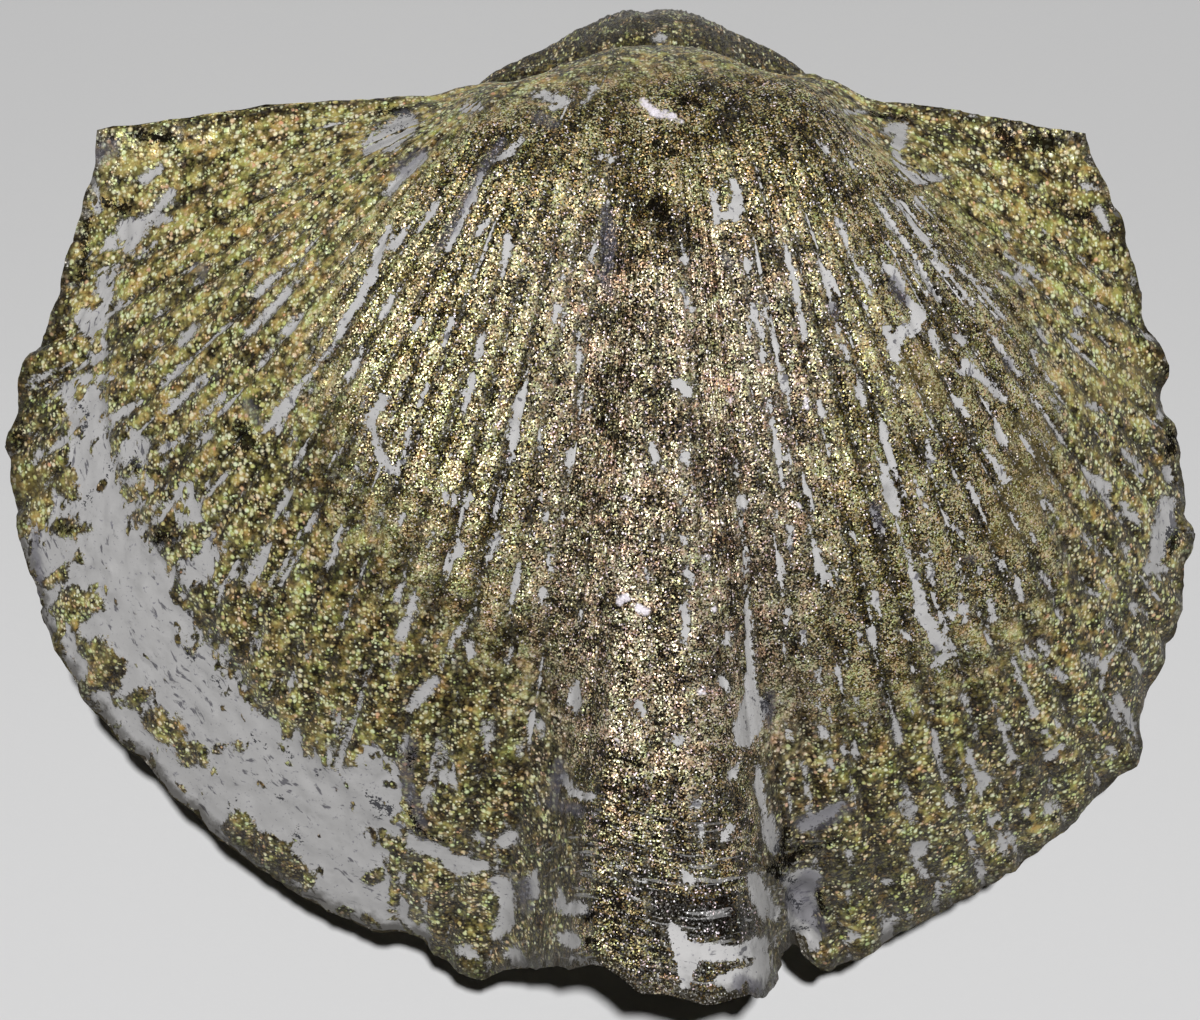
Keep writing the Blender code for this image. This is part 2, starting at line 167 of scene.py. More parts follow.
BARE_STREAKS = [
    # left ear and upper left flank
    [(-9.8, 15.4, 0.35), (-9.0, 15.7, 0.55), (-8.2, 16.4, 0.5)],
    [(-20.1, 11.2, 0.4), (-19.9, 11.8, 0.55)],
    [(-19.6, 12.0, 0.3), (-18.9, 12.6, 0.25), (-18.3, 13.4, 0.25)],
    [(-18.9, 12.3, 0.2), (-18.3, 12.3, 0.12)],
    [(-19.4, 14.0, 0.2), (-18.7, 14.4, 0.2)],
    [(-21.6, 14.0, 0.15), (-21.4, 12.7, 0.2)],
    [(-14.6, 9.1, 0.18), (-13.5, 10.1, 0.14), (-12.5, 10.6, 0.08)],
    [(-17.9, 7.0, 0.18), (-17.2, 7.7, 0.16)],
    [(-15.1, 7.3, 0.12), (-14.0, 8.4, 0.18), (-13.3, 9.2, 0.12)],
    [(-14.3, 3.3, 0.2), (-13.4, 4.3, 0.25), (-12.7, 5.3, 0.2), (-12.0, 6.1, 0.14), (-11.3, 7.0, 0.14),
     (-10.8, 8.0, 0.2), (-10.2, 9.0, 0.2), (-9.7, 10.0, 0.28), (-9.2, 11.5, 0.15), (-8.8, 12.2, 0.1)],
    [(-18.3, 4.2, 0.2), (-17.5, 4.9, 0.15), (-16.8, 5.6, 0.1)],
    [(-17.0, 3.8, 0.12), (-16.1, 4.8, 0.2)],
    [(-18.7, 2.5, 0.2), (-17.6, 3.0, 0.14)],
    [(-17.4, 2.5, 0.12), (-16.5, 3.2, 0.14)],
    [(-20.1, 3.4, 0.15), (-19.4, 2.6, 0.25), (-19.5, 2.0, 0.2)],
    [(-10.6, 5.7, 0.18), (-10.1, 6.8, 0.1)],
    [(-9.2, 4.6, 0.3), (-9.7, 4.0, 0.18), (-9.7, 3.2, 0.18), (-9.5, 2.4, 0.18), (-9.1, 1.7, 0.22),
     (-8.7, 1.5, 0.2), (-8.4, 2.2, 0.16), (-8.1, 3.2, 0.2)],
    [(-9.0, 13.4, 0.18), (-8.3, 14.3, 0.22), (-7.5, 15.0, 0.16)],
    [(-8.8, 11.2, 0.18), (-8.1, 12.0, 0.18)],
    [(-7.9, 11.6, 0.12), (-7.2, 12.6, 0.14), (-6.8, 13.1, 0.08)],
    [(-6.5, 11.0, 0.1), (-6.0, 12.0, 0.14), (-5.5, 13.2, 0.18), (-5.0, 14.2, 0.1)],
    [(-4.4, 14.9, 0.12), (-3.8, 15.2, 0.18), (-3.2, 15.8, 0.1)],
    [(-5.2, 11.7, 0.14), (-4.7, 12.4, 0.12)],
    [(-4.2, 9.7, 0.1), (-4.0, 10.5, 0.18), (-3.9, 11.5, 0.14)],
    [(-9.3, 8.2, 0.14), (-8.8, 8.9, 0.12), (-8.5, 9.3, 0.08)],
    [(-7.9, 7.6, 0.1), (-7.6, 8.2, 0.1)],
    [(-6.7, 6.8, 0.12), (-6.3, 8.0, 0.14)],
    [(-5.2, 6.4, 0.15), (-5.0, 7.3, 0.1)],
    [(-5.8, 4.2, 0.14), (-5.4, 5.6, 0.18)],
    [(-7.7, 4.2, 0.1), (-7.3, 5.3, 0.1)],
    [(-3.6, 3.9, 0.2), (-3.4, 5.0, 0.12)],
    [(-1.6, 9.6, 0.12), (-1.5, 10.0, 0.1)],
    [(-1.9, 7.9, 0.12), (-1.85, 8.6, 0.1)],
    [(-0.9, 7.6, 0.08), (-0.9, 6.5, 0.12), (-0.85, 5.6, 0.1)],
    [(-0.9, 4.3, 0.1), (-0.8, 4.9, 0.1)],
    [(-0.4, 10.5, 0.18), (-0.2, 11.2, 0.14)],
    # crest and upper right flank
    [(3.5, 11.1, 0.15), (3.7, 10.5, 0.18)],
    [(3.5, 9.3, 0.14), (3.8, 8.6, 0.2), (4.0, 8.3, 0.1)],
    [(4.8, 13.4, 0.2), (4.9, 12.6, 0.24), (5.0, 12.2, 0.18)],
    [(5.6, 13.9, 0.18), (5.9, 13.4, 0.18), (5.7, 12.5, 0.32), (5.2, 12.4, 0.2)],
    [(6.2, 10.5, 0.14), (6.3, 9.8, 0.12)],
    [(6.5, 8.7, 0.14), (6.6, 8.0, 0.14), (6.9, 7.4, 0.14), (6.9, 6.3, 0.12)],
    [(7.8, 11.3, 0.12), (8.0, 10.6, 0.12), (8.3, 9.6, 0.14), (8.5, 8.4, 0.14), (8.7, 7.3, 0.18)],
    [(3.3, 5.3, 0.3), (3.7, 5.0, 0.25)],
    [(7.2, 4.4, 0.14), (7.4, 3.4, 0.12), (7.6, 2.0, 0.18), (7.8, 0.9, 0.12)],
    [(9.3, 15.6, 0.1), (9.8, 15.0, 0.12), (10.1, 14.6, 0.08)],
    [(10.4, 15.2, 0.1), (10.9, 14.3, 0.1)],
    [(9.9, 16.9, 0.1), (11.3, 16.9, 0.1)],
    [(10.9, 16.1, 0.12), (11.8, 15.6, 0.12)],
    [(12.2, 16.2, 0.22), (12.9, 16.1, 0.24), (12.6, 15.2, 0.24), (12.9, 14.3, 0.24), (13.6, 14.0, 0.28),
     (14.4, 14.1, 0.2), (14.9, 14.1, 0.08)],
    [(11.6, 13.2, 0.08), (12.4, 12.2, 0.15), (13.0, 11.2, 0.12), (13.6, 10.3, 0.1), (14.2, 9.2, 0.14),
     (14.6, 8.6, 0.1)],
    [(12.3, 13.2, 0.1), (12.9, 12.9, 0.14), (13.4, 12.1, 0.2), (14.0, 11.2, 0.12), (14.7, 10.2, 0.12),
     (15.3, 9.4, 0.12), (15.9, 8.6, 0.1)],
    [(13.5, 13.2, 0.1), (14.2, 12.5, 0.08)],
    [(15.3, 10.3, 0.12), (16.0, 9.6, 0.1), (16.8, 8.6, 0.14), (17.5, 7.8, 0.1)],
    [(17.3, 10.8, 0.08), (18.1, 10.3, 0.14), (18.8, 9.8, 0.1)],
    [(17.0, 10.1, 0.06), (17.8, 9.8, 0.1), (18.4, 9.2, 0.06)],
    [(10.1, 12.3, 0.12), (10.3, 12.0, 0.14), (10.5, 11.0, 0.1), (10.9, 10.3, 0.14), (11.3, 9.8, 0.2),
     (11.5, 9.2, 0.1)],
    [(9.2, 10.9, 0.08), (9.6, 9.8, 0.14), (9.8, 9.0, 0.14), (9.9, 8.4, 0.12)],
    [(12.2, 10.3, 0.28), (12.7, 9.9, 0.28), (12.9, 9.2, 0.18)],
    [(13.2, 8.8, 0.2), (13.6, 8.2, 0.32), (13.4, 7.6, 0.24), (12.8, 7.5, 0.28), (12.5, 6.7, 0.28),
     (12.6, 6.3, 0.18)],
    [(14.1, 7.5, 0.2), (14.4, 6.8, 0.2), (14.5, 6.4, 0.1)],
    [(12.2, 7.7, 0.2), (12.3, 7.0, 0.2)],
    [(10.1, 7.8, 0.12), (10.3, 7.0, 0.14), (10.6, 6.4, 0.14)],
    [(10.9, 5.8, 0.08), (11.1, 5.0, 0.14), (11.2, 4.3, 0.12)],
    [(15.2, 7.3, 0.14), (15.5, 7.1, 0.2)],
    [(15.3, 5.8, 0.2), (15.5, 6.2, 0.24), (15.9, 5.7, 0.24), (16.5, 5.4, 0.2), (17.2, 4.6, 0.14)],
    [(15.3, 4.5, 0.2), (15.6, 3.9, 0.12)],
    [(16.6, 7.5, 0.12), (17.3, 6.4, 0.14), (17.8, 5.7, 0.14)],
    [(18.7, 7.6, 0.12), (19.0, 7.2, 0.12)],
    [(18.4, 6.7, 0.14), (18.6, 6.2, 0.08)],
    [(20.1, 7.5, 0.14), (20.6, 7.1, 0.12)],
    [(20.3, 8.4, 0.2), (20.6, 8.2, 0.14)],
    [(20.5, 13.7, 0.12), (21.1, 13.6, 0.14)],
    [(21.2, 12.7, 0.24), (21.4, 12.1, 0.12)],
    [(19.3, 4.7, 0.12), (19.6, 4.1, 0.08)],
    [(20.8, 4.4, 0.14), (21.1, 4.2, 0.12)],
    [(9.3, 4.6, 0.14), (9.5, 4.0, 0.14)],
    [(9.4, 3.3, 0.1), (9.8, 2.5, 0.12)],
    [(24.0, 4.8, 0.14), (23.9, 3.9, 0.2)],
    # right flank
    [(13.9, 2.9, 0.14), (14.0, 2.4, 0.14), (14.2, 1.8, 0.1)],
    [(16.4, 2.4, 0.14), (16.9, 1.8, 0.2), (17.3, 1.2, 0.24)],
    [(12.0, 1.9, 0.1), (12.2, 1.3, 0.24), (12.4, 0.4, 0.32), (12.6, -0.2, 0.2)],
    [(13.4, 1.3, 0.06), (13.6, 0.6, 0.1), (13.9, 0.0, 0.06)],
    [(15.7, 1.0, 0.12), (16.0, 0.3, 0.12)],
    [(15.0, -0.8, 0.06), (15.4, -1.2, 0.1)],
    [(22.3, 2.5, 0.12), (22.8, 1.9, 0.14), (23.1, 1.5, 0.08)],
    [(21.2, 1.3, 0.12), (21.6, 0.8, 0.12)],
    [(20.6, 0.6, 0.12), (20.8, 0.4, 0.12)],
    [(22.2, 0.2, 0.2), (22.6, -0.3, 0.2), (23.1, -0.8, 0.12)],
    [(24.1, 1.6, 0.24), (24.2, 1.1, 0.14)],
    [(24.2, 0.1, 0.4), (24.0, -0.9, 0.45), (23.7, -1.8, 0.4), (23.4, -2.6, 0.24), (24.0, -2.6, 0.2)],
    [(20.5, -1.1, 0.08), (20.9, -1.6, 0.14), (21.2, -1.9, 0.08)],
    [(22.3, -1.6, 0.12), (22.5, -2.2, 0.1)],
    [(13.1, -1.9, 0.1), (13.3, -2.8, 0.15), (13.6, -3.6, 0.24), (13.7, -4.4, 0.28), (14.1, -5.2, 0.34),
     (14.4, -5.8, 0.3)],
    [(14.2, -6.7, 0.14), (14.7, -6.3, 0.2)],
    [(8.1, -0.8, 0.1), (8.1, -1.5, 0.15), (8.2, -1.9, 0.06)],
    [(8.0, -4.4, 0.2), (7.8, -4.8, 0.12)],
    [(8.6, -5.3, 0.12), (8.7, -5.7, 0.14)],
    [(17.7, -2.9, 0.15), (17.9, -3.7, 0.12), (18.0, -4.1, 0.06)],
    [(18.8, -2.8, 0.08), (19.1, -3.3, 0.08)],
    [(20.5, -3.0, 0.08), (20.9, -3.6, 0.14), (21.2, -3.7, 0.1)],
    [(15.3, -3.6, 0.1), (15.5, -4.4, 0.2), (15.6, -4.8, 0.12)],
    [(16.6, -4.0, 0.14), (16.8, -4.7, 0.15)],
    [(16.2, -2.6, 0.1), (16.3, -2.9, 0.1)],
    [(18.3, -4.4, 0.08), (18.4, -4.8, 0.12)],
    [(22.7, -4.1, 0.15), (22.8, -4.5, 0.1)],
    [(21.5, -4.7, 0.08), (21.9, -5.3, 0.14)],
    [(22.1, -5.7, 0.15), (21.9, -6.2, 0.12), (21.4, -6.8, 0.2), (20.7, -6.3, 0.12)],
    [(21.4, -7.2, 0.18), (21.3, -7.6, 0.12)],
    [(18.9, -5.8, 0.12), (19.1, -6.0, 0.12)],
    [(19.5, -7.0, 0.2), (19.8, -7.2, 0.14)],
    [(17.6, -6.4, 0.12), (17.8, -7.2, 0.2), (18.2, -8.0, 0.12), (18.5, -8.7, 0.2)],
    [(11.4, -5.2, 0.15), (11.6, -5.7, 0.14)],
    [(12.9, -5.3, 0.14), (13.1, -5.5, 0.12)],
    [(10.4, -6.1, 0.1), (10.5, -6.7, 0.12)],
    [(9.3, -8.1, 0.12), (9.4, -8.6, 0.15)],
    [(10.9, -8.2, 0.1), (10.9, -8.5, 0.1)],
    [(12.4, -8.5, 0.1), (12.6, -9.2, 0.15), (12.7, -9.9, 0.14)],
    [(9.4, -9.5, 0.2), (9.7, -9.7, 0.14)],
    [(11.2, -9.2, 0.12), (11.3, -9.5, 0.12)],
    [(14.2, -9.5, 0.12), (14.3, -10.3, 0.15), (14.5, -11.0, 0.14), (14.6, -11.5, 0.1)],
    [(15.7, -10.2, 0.12), (15.9, -11.0, 0.2), (16.3, -11.6, 0.28), (16.2, -12.2, 0.2)],
    [(17.0, -9.1, 0.12), (17.3, -10.0, 0.2), (17.6, -10.7, 0.15)],
    [(16.7, -8.2, 0.1), (16.9, -8.5, 0.1)],
    [(18.9, -9.5, 0.12), (19.1, -9.8, 0.14)],
    [(19.7, -10.1, 0.15), (19.1, -10.6, 0.2)],
    [(17.9, -11.2, 0.12), (17.9, -11.6, 0.14)],
    [(9.7, -10.5, 0.15), (9.9, -11.1, 0.14)],
    [(22.0, -8.1, 0.22), (22.6, -9.0, 0.2), (22.8, -9.7, 0.14)],
    [(13.6, -14.3, 0.32), (13.4, -15.0, 0.2), (13.8, -15.6, 0.12)],
    [(14.3, -15.9, 0.15), (14.4, -16.4, 0.12)],
    [(17.2, -13.9, 0.15), (17.2, -14.6, 0.24)],
    [(18.0, -12.9, 0.12), (18.2, -13.0, 0.12)],
    [(10.6, -14.6, 0.1), (10.7, -15.2, 0.1)],
    [(10.5, -16.3, 0.12), (10.6, -17.0, 0.08)],
    [(10.6, -18.1, 0.22), (11.0, -18.3, 0.2)],
    [(12.4, -17.2, 0.12), (12.6, -17.5, 0.12)],
    [(12.1, -15.9, 0.15), (12.4, -15.9, 0.12)],
    [(19.1, -12.6, 0.2), (19.1, -12.9, 0.2)],
    [(21.7, -10.3, 0.12), (22.0, -10.5, 0.1)],
    [(13.0, -11.8, 0.06), (13.1, -12.5, 0.1)],
    [(14.8, -12.2, 0.14), (14.9, -12.7, 0.15)],
    # fold
    [(3.6, 2.3, 0.2), (3.7, 1.9, 0.14)],
    [(3.9, 0.8, 0.14), (3.4, 0.4, 0.14), (3.6, -0.2, 0.12)],
    [(2.2, 2.6, 0.14), (2.4, 2.0, 0.18)],
    [(-3.7, 2.6, 0.12), (-3.7, 2.1, 0.14)],
    [(-1.3, 2.4, 0.14), (-1.3, 1.7, 0.12)],
    [(5.8, 2.0, 0.08), (5.8, 1.4, 0.08)],
    [(6.0, 0.3, 0.26), (6.1, 0.1, 0.24)],
    [(6.0, -0.5, 0.06), (6.1, -1.5, 0.08), (6.15, -2.5, 0.1), (6.2, -3.5, 0.1), (6.3, -4.5, 0.15),
     (6.3, -5.4, 0.12), (6.4, -6.3, 0.2), (6.4, -7.2, 0.2), (6.4, -7.8, 0.3), (6.5, -8.6, 0.66),
     (6.3, -9.2, 0.66), (6.2, -9.8, 0.45)],
    [(5.5, -5.4, 0.22), (5.4, -5.8, 0.14)],
    [(5.2, -7.4, 0.22), (5.4, -7.7, 0.2)],
    [(3.4, -1.2, 0.2), (3.6, -1.4, 0.18)],
    [(2.5, -1.1, 0.1), (2.7, -1.2, 0.1)],
    [(1.9, -2.7, 0.14), (2.1, -3.0, 0.12)],
    [(3.7, -2.7, 0.22), (3.9, -3.0, 0.2)],
    [(3.6, -4.2, 0.2), (3.7, -5.0, 0.15), (3.6, -5.7, 0.08)],
    [(-4.4, -1.0, 0.15), (-4.5, -1.6, 0.15), (-4.8, -2.3, 0.1)],
    [(-5.1, -3.0, 0.06), (-5.3, -4.3, 0.07), (-6.0, -5.2, 0.12), (-6.4, -6.0, 0.07), (-6.8, -7.0, 0.08)],
    [(-7.0, -7.4, 0.24), (-7.6, -7.9, 0.3), (-8.1, -8.6, 0.15)],
    [(-7.9, -3.7, 0.2), (-8.0, -4.3, 0.28), (-8.3, -4.9, 0.24), (-8.5, -5.5, 0.28)],
    [(-5.6, -5.9, 0.24), (-5.5, -6.4, 0.15)],
    [(-8.5, -0.6, 0.2), (-8.3, 0.0, 0.1)],
    [(-7.3, -1.5, 0.15), (-7.1, -1.1, 0.12)],
    [(-6.1, -2.0, 0.24), (-6.0, -1.6, 0.2)],
    [(-5.6, 0.5, 0.16), (-5.4, 0.3, 0.16)],
    [(-6.6, 0.6, 0.1), (-6.6, 0.2, 0.12)],
    [(-2.2, -2.0, 0.14), (-2.1, -2.7, 0.1)],
    [(-2.4, -3.5, 0.16), (-2.4, -3.9, 0.18)],
    [(-1.6, -0.2, 0.1), (-1.6, -0.6, 0.12)],
    [(-0.8, -4.3, 0.08), (-0.8, -4.7, 0.1)],
    [(-1.0, -7.5, 0.18), (-1.1, -8.2, 0.32), (-1.0, -8.7, 0.1)],
    [(-2.5, -9.2, 0.18), (-2.4, -9.7, 0.12)],
    [(-3.4, -10.2, 0.2), (-3.5, -10.6, 0.1)],
    [(-4.8, -9.6, 0.18), (-4.6, -9.8, 0.18)],
    [(-6.7, -11.3, 0.2), (-6.6, -11.6, 0.16)],
    [(1.6, -8.3, 0.18), (1.9, -8.8, 0.14)],
    [(2.9, -9.8, 0.2), (3.4, -9.9, 0.24)],
    [(6.7, -11.0, 0.18), (6.8, -12.0, 0.2), (7.0, -13.0, 0.2), (7.3, -13.8, 0.38), (7.4, -14.5, 0.3)],
    [(5.6, -11.4, 0.18), (5.9, -10.9, 0.14)],
    [(4.3, -13.5, 0.15), (4.3, -14.2, 0.12)],
    [(5.3, -14.0, 0.22), (5.6, -13.6, 0.2)],
    [(-1.6, -11.5, 0.26), (-1.2, -12.1, 0.2), (-0.3, -12.3, 0.22)],
    [(-2.7, -11.9, 0.07), (-2.7, -12.6, 0.07)],
    [(3.9, -12.8, 0.18), (4.1, -12.6, 0.2)],
    [(-3.7, -14.0, 0.34), (-4.3, -14.3, 0.28)],
    [(-5.2, -14.0, 0.18), (-5.0, -14.3, 0.15)],
    # front
    [(-8.0, -14.2, 0.28), (-6.8, -14.7, 0.34), (-6.0, -15.2, 0.38), (-5.0, -15.3, 0.28)],
    [(-4.2, -16.0, 0.48), (-4.0, -16.8, 0.32), (-4.0, -17.6, 0.38), (-4.4, -18.1, 0.28)],
    [(-2.9, -16.4, 0.28), (-2.8, -15.6, 0.2)],
    [(-1.7, -16.3, 0.15), (-1.6, -17.0, 0.34), (-0.7, -17.1, 0.28)],
    [(-1.5, -18.3, 0.3), (-1.1, -18.4, 0.3)],
    [(-6.0, -18.8, 0.28), (-5.2, -19.1, 0.2)],
    [(-1.2, -19.2, 0.18), (0.0, -19.5, 0.12)],
    [(-3.7, -19.0, 0.38), (-3.2, -19.6, 0.2)],
    [(3.1, -17.9, 0.3), (3.5, -18.5, 0.45), (3.7, -19.3, 0.5), (3.6, -20.2, 0.3)],
    [(3.8, -18.8, 0.4), (4.8, -18.9, 0.36), (6.0, -18.9, 0.4), (7.2, -18.5, 0.35)],
    [(5.1, -20.2, 0.25), (6.0, -20.0, 0.5), (6.7, -20.0, 0.6), (7.0, -19.2, 0.4)],
    [(6.6, -15.8, 0.35), (6.9, -16.6, 0.45), (7.2, -17.3, 0.4)],
    [(8.2, -15.9, 0.45), (9.0, -15.7, 0.4), (8.5, -16.6, 0.6), (8.6, -17.7, 0.6), (8.9, -18.5, 0.4)],
    [(8.7, -13.6, 0.26), (9.5, -13.0, 0.28), (10.3, -12.7, 0.26)],
    [(3.6, -15.6, 0.26), (3.8, -15.8, 0.26)],
    [(0.6, -15.2, 0.16), (1.1, -15.2, 0.14)],
    [(-1.0, -15.6, 0.06), (0.5, -15.8, 0.06), (2.0, -15.9, 0.06)],
    [(0.0, -14.5, 0.06), (1.0, -14.8, 0.07)],
    # behind the crest
    [(-2.7, 17.6, 0.24), (-1.6, 17.4, 0.28)],
    [(-2.0, 17.0, 0.12), (-1.2, 17.5, 0.1)],
    [(-0.7, 17.3, 0.1), (-0.2, 18.0, 0.1)],
    [(-5.8, 17.1, 0.2), (-5.2, 17.1, 0.24)],
    [(0.0, 14.9, 0.18), (0.6, 14.9, 0.1)],
    [(2.5, 20.0, 0.2), (2.8, 19.9, 0.16)],
]

# The wide band of rock along the left margin.
BARE_BAND = [
    [(-21.7, 10.7, 0.42), (-21.1, 11.0, 0.28)],
    [(-21.2, 10.2, 0.28), (-21.25, 8.0, 0.3), (-21.5, 6.0, 0.4), (-21.8, 4.2, 0.5), (-21.8, 3.0, 0.8),
     (-21.5, 1.6, 1.1), (-21.4, 0.0, 1.6), (-21.8, -1.7, 2.6), (-21.0, -4.0, 2.8), (-19.6, -6.3, 2.8),
     (-17.7, -9.0, 2.7), (-15.6, -11.4, 2.9), (-12.9, -13.4, 2.8), (-11.2, -15.0, 2.2),
     (-9.8, -17.0, 1.0), (-8.2, -18.1, 0.5)],
    [(-10.0, -11.5, 1.3), (-9.0, -13.0, 0.9)],
    [(-22.5, 5.2, 0.22), (-22.4, 3.5, 0.38)],
    [(-20.4, 1.0, 0.5), (-18.6, 1.0, 0.35), (-17.6, 0.6, 0.25), (-17.3, -0.3, 0.4), (-18.0, -0.5, 0.4)],
    [(-16.6, -2.4, 0.4), (-17.6, -2.9, 0.5), (-16.0, -1.9, 0.2)],
    [(-22.2, 8.1, 0.22), (-21.9, 7.8, 0.2)],
]

# Scraps of crust that are left on the bare band.
CRUST_SCRAPS = [
    [(-24.3, 1.2, 0.7), (-23.9, -0.2, 0.6)],
    [(-22.9, 1.4, 0.4), (-22.8, 0.6, 0.42)],
    [(-23.0, -0.8, 0.35), (-22.0, -0.9, 0.2)],
    [(-22.4, -4.2, 0.9), (-21.4, -4.1, 0.3)],
    [(-21.4, -6.2, 0.7), (-20.9, -7.0, 0.7), (-21.6, -7.4, 0.3)],
    [(-20.0, -8.2, 0.4), (-19.3, -7.9, 0.2)],
    [(-18.9, -9.1, 0.6), (-18.4, -9.6, 0.6)],
    [(-17.8, -10.4, 0.25), (-17.1, -10.5, 0.35), (-16.8, -11.1, 0.08)],
    [(-16.4, -10.4, 0.12), (-15.3, -10.1, 0.08)],
    [(-15.5, -13.6, 0.55), (-14.5, -14.6, 0.65), (-13.3, -15.2, 0.6), (-12.6, -15.8, 0.3)],
    [(-19.6, -0.4, 0.3), (-19.4, -0.3, 0.28)],
    [(-18.9, -1.2, 0.5), (-18.3, -1.0, 0.4)],
    [(-17.4, -6.2, 0.2), (-17.6, -6.1, 0.16)],
    [(-20.1, 0.6, 0.25), (-19.6, 0.9, 0.3)],
    [(-9.8, -15.9, 0.25), (-9.2, -15.3, 0.2)],
    [(-14.1, -8.5, 0.4), (-13.4, -8.6, 0.4)],
    [(-22.2, -2.1, 0.2), (-23.6, -3.3, 0.2)],
]

# Dark marks: painted shade in pits and cracks, and dark crystals.
DARK_MARKS = [
    [(2.2, 12.9, 0.3), (2.7, 12.5, 0.45), (2.9, 12.2, 0.25)],
    [(2.4, 15.5, 0.25), (3.1, 15.1, 0.3)],
    [(4.6, 11.4, 0.2), (3.9, 11.2, 0.08), (3.2, 11.4, 0.05)],
    [(3.4, 17.4, 0.3), (4.2, 17.2, 0.25)],
    [(-3.5, 9.6, 0.22), (-3.2, 9.5, 0.2)],
    [(4.3, 6.4, 0.12), (4.5, 6.1, 0.1)],
    [(5.1, 6.4, 0.18), (5.3, 6.3, 0.14)],
    [(-15.2, 3.3, 0.4), (-15.0, 2.7, 0.4)],
    [(11.9, 9.7, 0.22), (12.1, 9.6, 0.2)],
    [(20.4, 12.4, 0.28), (20.9, 12.5, 0.2)],
    [(18.3, 15.7, 0.3), (19.1, 15.5, 0.4)],
    [(17.0, 16.0, 0.3), (17.5, 15.6, 0.3)],
    [(24.3, 3.2, 0.2), (24.3, 2.3, 0.3)],
    [(24.3, 6.1, 0.14), (24.3, 5.6, 0.2)],
    [(24.3, -1.0, 0.22), (24.4, -1.8, 0.3)],
    [(-24.8, 3.4, 0.24), (-24.7, 2.8, 0.28)],
    [(10.3, -3.2, 0.18), (10.6, -3.4, 0.14)],
    [(7.2, -15.4, 0.26), (7.8, -15.0, 0.3), (8.6, -14.6, 0.22), (9.5, -14.3, 0.14),
     (10.4, -13.9, 0.05)],
    [(7.6, -15.6, 0.3), (8.2, -15.9, 0.16)],
    [(8.0, -16.5, 0.16), (8.4, -16.9, 0.2)],
    [(9.3, -16.4, 0.2), (9.5, -17.1, 0.16)],
    [(8.0, -18.0, 0.16), (8.9, -17.8, 0.12)],
    [(7.9, -13.9, 0.3), (7.6, -14.6, 0.2)],
    [(-0.6, -17.4, 0.3), (-0.4, -17.3, 0.26)],
    [(-0.5, -18.5, 0.28), (-0.2, -18.4, 0.2)],
    [(1.2, -10.7, 0.24), (2.0, -11.0, 0.16)],
    [(0.4, -11.9, 0.2), (0.7, -11.8, 0.16)],
    [(6.9, -8.8, 0.1), (7.2, -8.0, 0.12)],
    [(5.5, -3.3, 0.2), (5.7, -3.3, 0.18)],
    [(6.3, -0.3, 0.12), (6.8, -0.5, 0.1)],
    [(13.7, 14.2, 0.1), (13.2, 14.8, 0.05)],
    [(11.5, 16.7, 0.16), (13.0, 16.6, 0.14)],
    [(-9.4, 16.9, 0.2), (-8.2, 16.9, 0.16)],
    [(-8.2, 16.3, 0.1), (-9.0, 16.1, 0.06)],
    [(-18.3, 15.7, 0.3), (-19.8, 15.9, 0.2)],
    [(-21.2, 13.0, 0.2), (-20.2, 12.7, 0.3)],
    [(-22.0, 9.8, 0.25), (-21.8, 12.3, 0.2)],
    [(-19.9, 2.1, 0.2), (-19.8, 1.7, 0.16)],
    [(-14.2, 2.9, 0.06), (-14.2, 1.6, 0.05)],
    [(-22.9, -0.9, 0.26), (-22.2, -0.9, 0.14)],
    [(-21.7, 0.5, 0.22), (-21.8, 0.3, 0.2)],
    [(-18.8, -1.3, 0.3), (-18.4, -1.3, 0.3)],
    [(-16.4, -7.4, 0.14), (-16.2, -7.6, 0.08)],
    [(-17.3, -6.3, 0.18), (-17.5, -6.1, 0.14)],
    [(-11.9, -11.4, 0.14), (-11.8, -11.2, 0.1)],
    [(-9.9, -12.3, 0.2), (-9.0, -12.9, 0.22), (-9.5, -13.1, 0.16)],
    [(-8.2, -12.6, 0.16), (-7.8, -13.6, 0.18), (-7.0, -14.1, 0.12), (-6.4, -14.2, 0.08)],
    [(-8.0, -10.2, 0.18), (-8.1, -11.2, 0.12)],
    [(-8.4, -5.7, 0.05), (-10.2, -5.4, 0.05)],
    [(-14.8, -9.6, 0.08), (-14.3, -10.2, 0.05)],
    [(-15.8, -12.7, 0.07), (-15.3, -12.3, 0.04)],
    [(-13.4, -10.3, 0.1), (-13.2, -10.7, 0.06)],
    [(-14.1, -11.7, 0.05), (-13.6, -12.4, 0.05)],
    [(-13.0, -13.8, 0.07), (-12.7, -14.3, 0.05)],
    [(-22.0, 4.6, 0.05), (-22.0, 3.6, 0.08), (-22.4, 2.6, 0.05)],
    [(-20.8, 1.9, 0.14), (-21.0, 1.5, 0.1)],
]

